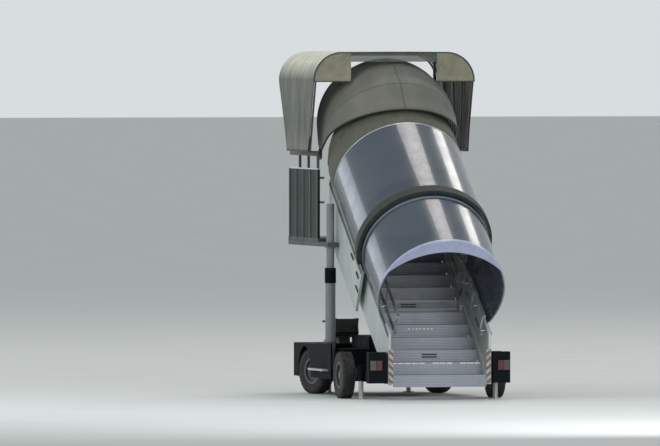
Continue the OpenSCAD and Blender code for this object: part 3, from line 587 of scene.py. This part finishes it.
def bow_point(share):
    """Sideways place and distance from the pivot line along one U-shaped bow."""
    at = share * hood_girth
    if at < hood_leg:
        return -HOOD_HALF, HOOD_LEG_FROM + at
    if at > hood_girth - hood_leg:
        return HOOD_HALF, HOOD_LEG_FROM + hood_girth - at
    a = (at - hood_leg) / HOOD_HALF
    return -HOOD_HALF * math.cos(a), hood_arc_at + HOOD_HALF * math.sin(a)


def canvas_point(along, around):
    x, r = bow_point(around)
    between_bows = math.sin(math.pi * BAYS * along) ** 2
    slack = HOOD_SAG * between_bows * math.sin(math.pi * around) ** 0.6
    crease = CREASE * math.sin(around * 70 + 3 * math.sin(along * 9)) * between_bows
    r_now = r - (slack + crease) * min(1.0, r / 0.9)
    x_now = x * (1 - 0.25 * slack)
    angle = math.radians(HOOD_FROM + along * (HOOD_TO - HOOD_FROM))
    return (x_now, hood_pivot.y - r_now * math.cos(angle), hood_pivot.z + r_now * math.sin(angle))


place, wire = finish_of("coated_canvas", Sheen_Weight=0.2)
bow_line = (place.sheet_share(0) * BAYS).maths("PINGPONG", 0.5).step(0.0, 0.045, 1.0, 0.0)
crown_line = (place.sheet_share(1) - 0.5).absolute().step(0.0, 0.006, 1.0, 0.0)
seams = bow_line.maths("MAXIMUM", crown_line)
weather = place.stretched(1.4, 0.6, 0.5).noise(2.4, 5.0, 0.55).step(0.30, 0.80)
canvas_colour = weather.tint((0.150, 0.150, 0.118), (0.098, 0.108, 0.092))
canvas = wire(bump=place.noise(380.0, 2.0) * 0.4 + weather * 0.4 + seams * 1.2, bump_depth=0.0016,
              Base_Color=(seams * 0.75).tint(canvas_colour, (0.05, 0.05, 0.04)),
              Roughness=weather.step(0, 1, 0.6, 0.85))
hood_mesh = grid_mesh("hood_canvas", BAYS * 10, 110, canvas_point)
hood = piece("hood_canvas", hood_mesh, canvas, "hood")
thicken(hood, HOOD_SKIN, offset=1.0)
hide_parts("folding_hood")

# Side steps: a plain bar of bare aluminium on each side of the body, brushed along and dulled by
# boots. It is bolted to the sills, and its shape is the solid's own.
place, wire = finish_of("bare_aluminium", Metallic=0.9)
dress(wire(bump=place.noise(90.0), bump_depth=0.0005, Roughness=place.noise(9.0).step(0, 1, 0.3, 0.5),
           Base_Color=place.noise(6.0).tint((0.45, 0.46, 0.48), (0.60, 0.61, 0.62))), "side_steps")

# Stabilising legs: scuffed steel tubes with a foot plate, which slide down through their collars at
# the four corners of the frame.
CORNERS = ("front_left", "front_right", "rear_left", "rear_right")
for corner in CORNERS:
    dress(leg_steel, "jack_" + corner)

# Tail lamps: one moulded lens on each end of the rear beam, red inside and a dull amber outside,
# finely ribbed under a thin gloss.
LENS_SPLIT_X = 1.017
place, wire = finish_of("lamp_lens", Coat_Weight=0.2)
red_part = place.axis(0).absolute() < LENS_SPLIT_X
dress(wire(bump=place.noise(200.0), bump_depth=0.0006,
           Base_Color=red_part.tint((0.060, 0.050, 0.040), (0.060, 0.006, 0.007)),
           Roughness=place.noise(30.0).step(0, 1, 0.15, 0.3)), "tail_lamps")

# Nosings: a dark grip strip is screwed along the edge of every tread, with eight fine ribs across the
# tread behind it. The steps are counted from the foot, and repeat by one riser and one going.
FOOT_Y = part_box("lower_treads")[0].y
RISER = 0.186
GOING = 0.276
FOOT_Z = 0.200
LOWER_STEPS = 6
STEPS = 12
GRIP_IN = 0.032
GRIP_SHORT = 0.10
TREAD_RIBS = 8
RIB_FROM = 0.075
RIB_PITCH = 0.0235
SCREWS_ACROSS = (-0.6, -0.3, 0, 0.3, 0.6)


def nosing(step):
    return Vector((0, FOOT_Y + step * GOING, FOOT_Z + (step + 1) * RISER))


first_nosing = nosing(0)


def on_slope(x, along, above):
    """A point by its distance along the slope and its height square to it."""
    return first_nosing + Vector((x, 0, 0)) + up_slope * along + off_slope * above


place, wire = finish_of("grip_strip")
grit = place.noise(300.0, 3.0)
grip = wire(bump=grit, bump_depth=0.001, Base_Color=grit.tint((0.05, 0.05, 0.05), (0.13, 0.13, 0.125)),
            Roughness=grit.step(0, 1, 0.7, 0.95))
tread_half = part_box("lower_treads")[1].x
for body, first, last in (("lower_flight", 0, LOWER_STEPS), ("upper_flight", LOWER_STEPS, STEPS)):
    row_of("bar", body + "_nosings",
           [(nosing(k) + Vector((0, GRIP_IN, 0.0025)), UP, ACROSS) for k in range(first, last)],
           (2 * tread_half - GRIP_SHORT, 0.05, 0.006), grip, body)
    row_of("bar", body + "_tread_ribs",
           [(nosing(k) + Vector((0, RIB_FROM + RIB_PITCH * i, 0.0012)), UP, ACROSS)
            for k in range(first, last) for i in range(TREAD_RIBS)],
           (2 * tread_half - GRIP_SHORT, 0.009, 0.0036), tread_metal, body)
    row_of("dome", body + "_nosing_screws",
           [(nosing(k) + Vector((x, GRIP_IN, 0.0055)), UP, ACROSS)
            for k in range(first, last) for x in SCREWS_ACROSS],
           (0.014, 0.014, 0.005), leg_steel, body)

# Vent slots: a pair of slots pressed into one of the lower risers, drawn as dark bars on its face:
# painted shade in the openings. The step apron higher up has another pair, painted dark on its sheet.
row_of("bar", "riser_slots",
       [(nosing(2) + Vector((-0.03, -0.001, -RISER * share)), UP, ACROSS) for share in (0.38, 0.58)],
       (0.24, 0.006, 0.022), rubber, "lower_flight")

# Reflective dashes: scraped white tape stuck along one nosing, with two gaps, and a short row of
# smaller pieces on a riser higher up.
DASH_FROM = -0.66
DASH_PITCH = 0.11
DASH_GAPS = (5, 9)
SMALL_DASH_FROM = -0.21
SMALL_DASH_PITCH = 0.06
place, wire = finish_of("reflective_tape")
scrape = place.noise(40.0, 4.0, 0.7).step(0.45, 0.7)
tape = wire(bump=scrape, bump_depth=0.0004, Roughness=scrape.step(0, 1, 0.25, 0.6),
            Base_Color=scrape.tint((0.78, 0.74, 0.72), (0.42, 0.41, 0.40)))
row_of("bar", "nosing_dashes",
       [(nosing(1) + Vector((DASH_FROM + DASH_PITCH * i, -0.0022, -0.012)), UP, ACROSS)
        for i in range(13) if i not in DASH_GAPS],
       (0.095, 0.006, 0.022), tape, "lower_flight")
row_of("bar", "riser_dashes",
       [(nosing(4) + Vector((SMALL_DASH_FROM + SMALL_DASH_PITCH * i, -0.0022, -0.060)), UP, ACROSS)
        for i in range(7)],
       (0.034, 0.006, 0.024), tape, "lower_flight")

# Step apron: a ribbed rubber sheet that closes the riser where the flights meet. Its foot is by the
# lower flight and its head by the upper one.
APRON_RIPPLE = 0.0018
APRON_RIPPLES = 7
APRON_GAP = 0.004
SLOT_ACROSS = 0.445
SLOT_HALF_WIDE = 0.082
SLOTS_ALONG = (0.37, 0.70)
SLOT_HALF_HIGH = 0.09
apron_head = nosing(LOWER_STEPS) + Vector((0, 0.016, -0.030))
apron_foot = nosing(LOWER_STEPS) + Vector((0, -0.006, -RISER + 0.048))


def apron_point(along, around):
    ripple = APRON_RIPPLE * math.cos(2 * math.pi * APRON_RIPPLES * along)
    across = (2 * around - 1) * (tread_half - APRON_GAP)
    return apron_head.lerp(apron_foot, along) + Vector((across, ripple, 0))


place, wire = finish_of("step_apron")
# Two vent slots are painted nearly black on the sheet: painted shade in the openings.
slot_across = (place.sheet_share(1) - SLOT_ACROSS).absolute() < SLOT_HALF_WIDE
slot_along = ((place.sheet_share(0) - SLOTS_ALONG[0]).absolute() < SLOT_HALF_HIGH) + (
    (place.sheet_share(0) - SLOTS_ALONG[1]).absolute() < SLOT_HALF_HIGH)
apron_dirt = place.noise(7.0, 6.0, 0.7).step(0.35, 0.7)
apron_colour = apron_dirt.tint((0.23, 0.25, 0.26), (0.35, 0.37, 0.39))
apron_rubber = wire(bump=place.noise(200.0, 3.0), bump_depth=0.0008,
                    Base_Color=(slot_across * slot_along).tint(apron_colour, (0.02, 0.02, 0.02)),
                    Roughness=apron_dirt.step(0, 1, 0.5, 0.75))
apron = piece("step_apron", grid_mesh("step_apron", 56, 24, apron_point), apron_rubber, None)
thicken(apron, 0.003, offset=0.0)
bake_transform(apron)

# Wheels: painted steel rims held by eight nuts, and tyres made as a turned carcass with four rows of
# lugs round the crown. The carcass keeps the solid tyre's outside.
rim_paint = painted("rim_paint", (0.13, 0.135, 0.145), (0.10, 0.095, 0.08), rough=0.45,
                    dirt_amount=0.6, scale=18.0)
place, wire = finish_of("tyre_rubber")
tyre_rubber = wire(bump=place.noise(150.0, 3.0), bump_depth=0.001,
                   Base_Color=place.noise(9.0, 5.0).step(0.4, 0.7).tint((0.010, 0.010, 0.011),
                                                                        (0.05, 0.048, 0.042)),
                   Roughness=place.noise(9.0, 5.0).step(0.3, 0.7, 0.65, 0.95))
TYRE_R = 0.36
RIM_R = 0.205
LUG_H = 0.012
LUG_SINK = 0.0012
LUGS = 40
LUG_ROWS = (-0.069, -0.024, 0.024, 0.069)
RIM_NUTS = 8
NUT_OUT = 0.045
NUT_CIRCLE = 0.105
CARCASS = ((RIM_R, -0.086), (RIM_R + 0.012, -0.094), (RIM_R + 0.022, -0.090), (RIM_R + 0.040, -0.098),
           (RIM_R + 0.085, -0.099), (TYRE_R - 0.045, -0.097), (TYRE_R - 0.022, -0.088),
           (TYRE_R - LUG_H, -0.068), (TYRE_R - LUG_H, 0.0))


def closed_mesh(name, spots, faces):
    """A closed body, with every face turned outwards."""
    mesh = bpy.data.meshes.new(name)
    mesh.from_pydata(spots, [], faces)
    work = bmesh.new()
    work.from_mesh(mesh)
    bmesh.ops.recalc_face_normals(work, faces=work.faces)
    work.to_mesh(mesh)
    work.free()
    return mesh


def between_rings(count, points, rings):
    """Quads that join rings of points, each to the next one."""
    return [(i * points + j, i * points + (j + 1) % points, (i + 1) % rings * points + (j + 1) % points,
             (i + 1) % rings * points + j) for i in range(count) for j in range(points)]


def lathe(name, profile, turns=96):
    """Turns (radius, side) pairs about the X axis."""
    spots = [(x, r * math.cos(a), r * math.sin(a)) for i in range(turns)
             for a in [2 * math.pi * i / turns] for r, x in profile]
    return closed_mesh(name, spots, between_rings(turns, len(profile), turns))


for corner in CORNERS:
    dress(rim_paint, "rim_" + corner)
    dress(tyre_rubber, "tyre_" + corner)
    roll = joint["roll_" + corner]
    centre = Vector(roll["pos_m"])
    axle = Vector(roll["axis"])
    forward = Vector((-axle.y, axle.x, 0))
    outward = 1 if "right" in corner else -1
    set_up = Matrix.Translation(centre) @ Matrix((axle, forward, Vector(UP))).transposed().to_4x4()
    carcass = lathe("carcass_" + corner, CARCASS + tuple((r, -x) for r, x in CARCASS[-2::-1]))
    carcass.transform(set_up)
    tyre = piece("carcass_" + corner, carcass, tyre_rubber, "wheel_" + corner)
    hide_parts("tyre_" + corner)
    lugs = []
    for i in range(LUGS):
        for row, x in enumerate(LUG_ROWS):
            a = 2 * math.pi * (i + 0.5 * (row % 2)) / LUGS
            out = forward * math.cos(a) + Vector(UP) * math.sin(a)
            lugs.append((centre + axle * x + out * (TYRE_R - LUG_H / 2 - LUG_SINK), out, axle))
    row_of("bar", "lugs_" + corner, lugs, (0.038, 0.040, LUG_H), tyre_rubber, "wheel_" + corner)
    nuts = []
    for i in range(RIM_NUTS):
        a = 2 * math.pi * i / RIM_NUTS
        out = forward * math.cos(a) + Vector(UP) * math.sin(a)
        nuts.append((centre + axle * outward * NUT_OUT + out * NUT_CIRCLE, axle * outward, out))
    row_of("bolt", "nuts_" + corner, nuts, (0.026, 0.026, 0.016), leg_steel, "wheel_" + corner)

# Foot guards: a thin plate on each front edge of the foot, painted with red and white warning
# stripes that lean outwards and are worn through in places.


def plate(low, high, bevel, mesh=None):
    """A slab with eased edges, added to a mesh or to a new one."""
    work = bmesh.new()
    if mesh is not None:
        work.from_mesh(mesh)
    low, high = Vector(low), Vector(high)
    made = bmesh.ops.create_cube(work, size=1)["verts"]
    bmesh.ops.scale(work, vec=high - low, verts=made)
    bmesh.ops.translate(work, vec=(low + high) / 2, verts=made)
    edges = list({edge for vert in made for edge in vert.link_edges})
    bmesh.ops.bevel(work, geom=edges, offset=bevel, segments=2, affect="EDGES", profile=0.6)
    result = mesh or bpy.data.meshes.new("plate")
    work.to_mesh(result)
    work.free()
    return result


place, wire = finish_of("warning_stripes")
STRIPE_LEAN = 0.9
STRIPE_WAVE = 57.0
stripe = ((place.axis(2) - place.axis(0).absolute() * STRIPE_LEAN) * STRIPE_WAVE).maths("SINE") > 0.0
worn = place.noise(24.0, 5.0, 0.7).step(0.45, 0.72)
stripes = stripe.tint((0.38, 0.39, 0.38), (0.18, 0.080, 0.075))
striped = wire(Base_Color=(worn * 0.8).tint(stripes, (0.10, 0.10, 0.09)),
               Roughness=worn.step(0, 1, 0.4, 0.8), bump=worn, bump_depth=0.0008)
GUARD_Z = (0.26, 0.78)
GUARD_Y = (0.002, 0.0095)
guard_x = (tread_half + 0.004, tread_half + 0.076)
guards = None
for side in (-1, 1):
    x0, x1 = sorted((side * guard_x[0], side * guard_x[1]))
    guards = plate((x0, FOOT_Y + GUARD_Y[0], GUARD_Z[0]), (x1, FOOT_Y + GUARD_Y[1], GUARD_Z[1]), 0.002,
                   guards)
piece("foot_guards", guards, striped, "lower_flight", smooth=False)

# Canopy fixings: dome rivets along both lower edges of each barrel, and two bright extruded strips on
# each side that clamp the upper sheet to its panel.
AXIS_UP = 1.298 * up_slope.y
RIM_ALONG = 0.629
LOWER_R = 0.985
UPPER_R = 1.02
UPPER_ALONG = 1.883
UPPER_END = 4.28
RIVET_PITCH = 0.11
place, wire = finish_of("bright_strip", Metallic=0.85)
bright = wire(bump=place.stretched(1, 0.1, 0.1).noise(90.0), bump_depth=0.0003,
              Roughness=place.noise(8.0).step(0, 1, 0.25, 0.45),
              Base_Color=place.noise(5.0).tint((0.50, 0.51, 0.53), (0.68, 0.69, 0.70)))


def barrel_spot(radius, degrees, along):
    a = math.radians(degrees)
    out = Vector((1, 0, 0)) * math.sin(a) + off_slope * math.cos(a)
    return on_slope(0, along, AXIS_UP) + out * radius, out


for body, radius, reach, start, end in (
        ("lower_flight", LOWER_R, 121, RIM_ALONG + 0.1, UPPER_ALONG - 0.1),
        ("upper_flight", UPPER_R, 114, UPPER_ALONG + 0.2, UPPER_END - 0.1)):
    count = int((end - start) / RIVET_PITCH)
    rivets = []
    for side in (-1, 1):
        for i in range(count + 1):
            along = start + (end - start) * i / count
            rivets.append((*barrel_spot(radius + 0.001, side * reach, along), up_slope))
    row_of("dome", body + "_rivets", rivets, (0.016, 0.016, 0.008), bright, body)
CLAMP_DEGREES = (112.6, 115.2)
strips = []
for side in (-1, 1):
    for degrees in CLAMP_DEGREES:
        middle = (UPPER_ALONG + UPPER_END) / 2
        strips.append((*barrel_spot(UPPER_R + 0.002, side * degrees, middle), up_slope))
row_of("bar", "canopy_clamp_strips", strips, (UPPER_END - UPPER_ALONG - 0.02, 0.030, 0.006), bright,
       "upper_flight")

# Side panel fittings: a dark angle along the outer top edge of each panel, which hides the canopy's
# foot, and three draw latches with their hooks that lock the upper panels to the lower ones.
UPPER_OUT = 0.93
LOWER_OUT = 0.815
CAPPING_RIVET_PITCH = 0.13
LATCH_SPOTS = ((2.50, 0.475), (2.08, 0.42), (1.99, 0.226))
LATCH_PIN = 0.055
for body, out, along, above, length in (("lower_flight", LOWER_OUT, 1.340, 0.492, 1.98),
                                        ("upper_flight", UPPER_OUT, 3.122, 0.586, 2.44)):
    row_of("bar", body + "_cappings",
           [(on_slope(side * (out + 0.003), along, above), ACROSS, up_slope) for side in (-1, 1)],
           (length, 0.066, 0.008), grey_primer, body)
    row_of("dome", body + "_capping_rivets",
           [(on_slope(side * (out + 0.007), along - length / 2 + 0.06 + CAPPING_RIVET_PITCH * i, above),
             (side, 0, 0), up_slope) for side in (-1, 1)
            for i in range(int(length / CAPPING_RIVET_PITCH))],
           (0.014, 0.014, 0.006), leg_steel, body)
latches = [(on_slope(side * (UPPER_OUT + 0.008), along, above), (side, 0, 0), up_slope)
           for side in (-1, 1) for along, above in LATCH_SPOTS]
row_of("bar", "panel_latches", latches, (0.16, 0.034, 0.016), rubber, "upper_flight")
row_of("bolt", "latch_hooks", [(spot + along * shift, head, along) for spot, head, along in latches
                               for shift in (-LATCH_PIN, LATCH_PIN)],
       (0.026, 0.026, 0.030), leg_steel, "upper_flight")

# Head band: a dark band round the head of the upper canopy, where the hood rests on it, with a pale
# moulding along its near edge.
HEAD_FROM = 3.80
HEAD_GAP = 0.006
BAND_REACH = 104
MOULDING_REACH = 106
MOULDING_FROM = 0.026
BAND_UNDER = 0.0004
BAND_PROUD = 0.0035
MOULDING_PROUD = 0.005


def hoop_mesh(name, low_r, high_r, start, end, reach, rounds=96):
    """A closed band about the canopies' axis, from one side's angle to the other's."""
    spots = []
    for i in range(rounds + 1):
        degrees = -reach + 2 * reach * i / rounds
        for radius, along in ((low_r, start), (high_r - 0.002, start), (high_r, start + 0.003),
                              (high_r, end - 0.003), (high_r - 0.002, end), (low_r, end)):
            spots.append(barrel_spot(radius, degrees, along)[0])
    ends = [tuple(range(6)), tuple(range(rounds * 6 + 5, rounds * 6 - 1, -1))]
    return closed_mesh(name, spots, between_rings(rounds, 6, rounds + 1) + ends)


place, wire = finish_of("head_band")
band_dirt = place.noise(9.0, 6.0, 0.65).step(0.35, 0.75)
band = wire(bump=place.noise(240.0, 2.0) + band_dirt, bump_depth=0.0008,
            Base_Color=band_dirt.tint((0.062, 0.068, 0.045), (0.12, 0.125, 0.09)),
            Roughness=band_dirt.step(0, 1, 0.55, 0.85))
piece("head_band",
      hoop_mesh("head_band", UPPER_R + BAND_UNDER, UPPER_R + BAND_PROUD, HEAD_FROM,
                UPPER_END - HEAD_GAP, BAND_REACH), band, "upper_flight")
piece("head_moulding",
      hoop_mesh("head_moulding", UPPER_R + BAND_UNDER, UPPER_R + MOULDING_PROUD,
                HEAD_FROM - MOULDING_FROM, HEAD_FROM - HEAD_GAP, MOULDING_REACH),
      bright, "upper_flight")

# Head sleeve: coated canvas sewn in shallow bellows and glued into the head of the upper canopy. It
# reaches up inside the hood, longest at the crown, and closes the gap as the landing goes up.
SLEEVE_R = 1.0150
SLEEVE_FOLD = 0.009
SLEEVE_FOLDS = 5
SLEEVE_SIDE = 0.10
SLEEVE_CROWN = 0.28
SLEEVE_REACH = 100
SLEEVE_SKIN = 0.003
SLEEVE_LAP = 0.012


def sleeve_point(along, around):
    degrees = SLEEVE_REACH * (2 * around - 1)
    length = SLEEVE_SIDE + SLEEVE_CROWN * max(0.0, math.cos(math.radians(degrees))) ** 0.8
    radius = SLEEVE_R - SLEEVE_FOLD * math.sin(math.pi * SLEEVE_FOLDS * along) ** 2
    return barrel_spot(radius, degrees, UPPER_END - SLEEVE_LAP + (length + SLEEVE_LAP) * along)[0]


sleeve_mesh = grid_mesh("head_sleeve", 50, 96, sleeve_point)
sleeve = piece("head_sleeve", sleeve_mesh, band, "upper_flight")
thicken(sleeve, SLEEVE_SKIN)

# Mast flanges: eight hexagon bolts hold each fixed mast tube down on the body, on a circle round the
# tube.
MAST_X = 1.05
mast_y = sum(corner.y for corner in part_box("mast_inner")) / 2
FLANGE_TOP = 0.864
FLANGE_BOLTS = 8
BOLT_CIRCLE = 0.091
bolts = []
for side in (-1, 1):
    for i in range(FLANGE_BOLTS):
        a = 2 * math.pi * (i + 0.5) / FLANGE_BOLTS
        bolts.append(((side * MAST_X + BOLT_CIRCLE * math.cos(a),
                       mast_y + BOLT_CIRCLE * math.sin(a), FLANGE_TOP + 0.005), UP, ACROSS))
row_of("bolt", "flange_bolts", bolts, (0.020, 0.020, 0.012), leg_steel, "chassis")

# Bodywork details: louvres pressed into the front and the sides of the engine cover, and two rows of
# rivets along each body side.
LOUVRE_FROM = 0.10
LOUVRE_PITCH = 0.045
BLOCK_FROM = 0.28
BLOCK_PITCH = 0.3
cover_low, cover_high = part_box("engine_housing")
louvre_z = [cover_low.z + LOUVRE_FROM + LOUVRE_PITCH * i for i in range(8)]
louvres = [((0, cover_low.y - 0.004, z), (0, -1, 0.5), ACROSS) for z in louvre_z]
louvres += [((side * (cover_high.x + 0.004), cover_low.y + BLOCK_FROM + BLOCK_PITCH * block, z),
             (side, 0, 0.5), (0, 1, 0)) for side in (-1, 1) for block in (0, 1) for z in louvre_z]
row_of("bar", "cover_louvres", louvres, (0.24, 0.030, 0.006), navy_paint, "chassis")
BODY_RIVET_FROM = 0.06
BODY_RIVET_PITCH = 0.14
UPPER_ROW_Z = 0.74
side_low, side_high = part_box("body_sides")
rivets = [((side * (side_high.x + 0.001), side_low.y + BODY_RIVET_FROM + BODY_RIVET_PITCH * i, z),
           (side, 0, 0), UP)
          for side in (-1, 1) for i in range(8) for z in (side_low.z + 0.04, UPPER_ROW_Z)]
row_of("dome", "body_rivets", rivets, (0.016, 0.016, 0.006), navy_paint, "chassis")

# Landing walls: five flat posts outside each dark wall, in the deck's paint, and a bright capping
# along the top edge.
POST_INSET = 0.03
wall_low, wall_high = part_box("landing_walls")
post_pitch = (wall_high.y - wall_low.y - 2 * POST_INSET) / 4
posts = [((side * (wall_high.x + 0.004), wall_low.y + POST_INSET + i * post_pitch,
           (wall_low.z + wall_high.z) / 2), (side, 0, 0), UP) for side in (-1, 1) for i in range(5)]
row_of("bar", "wall_posts", posts, (wall_high.z - wall_low.z, 0.045, 0.012), deck_paint, "landing")
caps = [((side * (wall_high.x - 0.0175), (wall_low.y + wall_high.y) / 2, wall_high.z + 0.008),
         UP, (0, 1, 0)) for side in (-1, 1)]
row_of("bar", "wall_caps", caps, (wall_high.y - wall_low.y, 0.048, 0.020), bright, "landing")

# Driver's seat: two foam cushions covered in black vinyl, blown up as cloth and then sewn in
# channels, on a steel pedestal and pan.
place, wire = finish_of("black_vinyl", Coat_Weight=0.1)
vinyl = wire(bump=place.noise(220.0, 4.0), bump_depth=0.0006,
             Base_Color=place.noise(10.0).step(0.4, 0.7).tint((0.014, 0.014, 0.015),
                                                              (0.045, 0.044, 0.042)),
             Roughness=place.noise(10.0).step(0.3, 0.7, 0.4, 0.65))
seat_low, seat_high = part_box("driver_seat")
FOAM_GRID = 0.006
FOAM_SHRINK = 0.009
FOAM_PRESSURE = 4.0
FOAM_CAP = 0.016
CHANNEL_DEPTH = 0.006
CHANNELS = 4
SEAT_TOP = 0.90


def foam_cushion(name, low, high, wide, thick):
    """A pad that fills its box: wide is the axis its channels follow each other on."""
    low, high = Vector(low), Vector(high)
    inset = Vector((FOAM_SHRINK,) * 3)
    pad = bpy.data.objects.new(name + "_foam", plate(low + inset, high - inset, 0.014))
    into_scene(pad)
    grid = pad.modifiers.new("even_grid", "REMESH")
    grid.mode = "VOXEL"
    grid.voxel_size = FOAM_GRID
    start = finished_mesh(pad)
    pad.modifiers.clear()
    pad.data = start
    rest = [vert.co.copy() for vert in start.vertices]
    blown = rest
    cloth = pad.modifiers.new("inflate", "CLOTH")
    cloth.settings.use_pressure = True
    cloth.settings.uniform_pressure_force = FOAM_PRESSURE
    cloth.settings.effector_weights.gravity = 0
    for step in range(1, 21):
        bpy.context.scene.frame_set(step)
    shaped = pad.evaluated_get(bpy.context.evaluated_depsgraph_get()).data
    blown = [vert.co.copy() for vert in shaped.vertices]
    pad.modifiers.clear()
    bpy.context.scene.frame_set(1)
    for vert, old, new in zip(start.vertices, rest, blown):
        move = new - old
        spot = old + move * min(1.0, FOAM_CAP / max(move.length, 1e-9))
        share = (spot[wide] - low[wide]) / (high[wide] - low[wide])
        groove = 1 - abs(math.sin(math.pi * CHANNELS * share)) ** 0.4 if 0.12 < share < 0.88 else 0.0
        depth = (spot[thick] - low[thick]) / (high[thick] - low[thick])
        spot[thick] -= CHANNEL_DEPTH * groove * (depth > 0.6)
        vert.co = [min(max(spot[i], low[i]), high[i]) for i in range(3)]
    finer = pad.modifiers.new("finer", "SUBSURF")
    finer.levels = finer.render_levels = 1
    made = finished_mesh(pad)
    bpy.data.objects.remove(pad)
    return made


base = plate((seat_low.x + 0.14, seat_low.y + 0.13, seat_low.z),
             (seat_high.x - 0.14, seat_low.y + 0.31, SEAT_TOP), 0.008)
base = plate((seat_low.x + 0.03, seat_low.y + 0.06, 0.885),
             (seat_high.x - 0.03, seat_high.y - 0.02, 0.902), 0.004, base)
pedestal = piece("seat_pedestal", base, grey_primer, "chassis", smooth=False)
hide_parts("driver_seat")
bottom = piece("seat_cushion",
               foam_cushion("seat_cushion", (seat_low.x, seat_low.y + 0.05, SEAT_TOP),
                            (seat_high.x, seat_high.y, 0.990), 1, 2), vinyl, "chassis")
back = piece("seat_back",
             foam_cushion("seat_back", (seat_low.x + 0.01, seat_low.y, 0.93),
                          (seat_high.x - 0.01, seat_low.y + 0.09, seat_high.z), 2, 1),
             vinyl, "chassis")
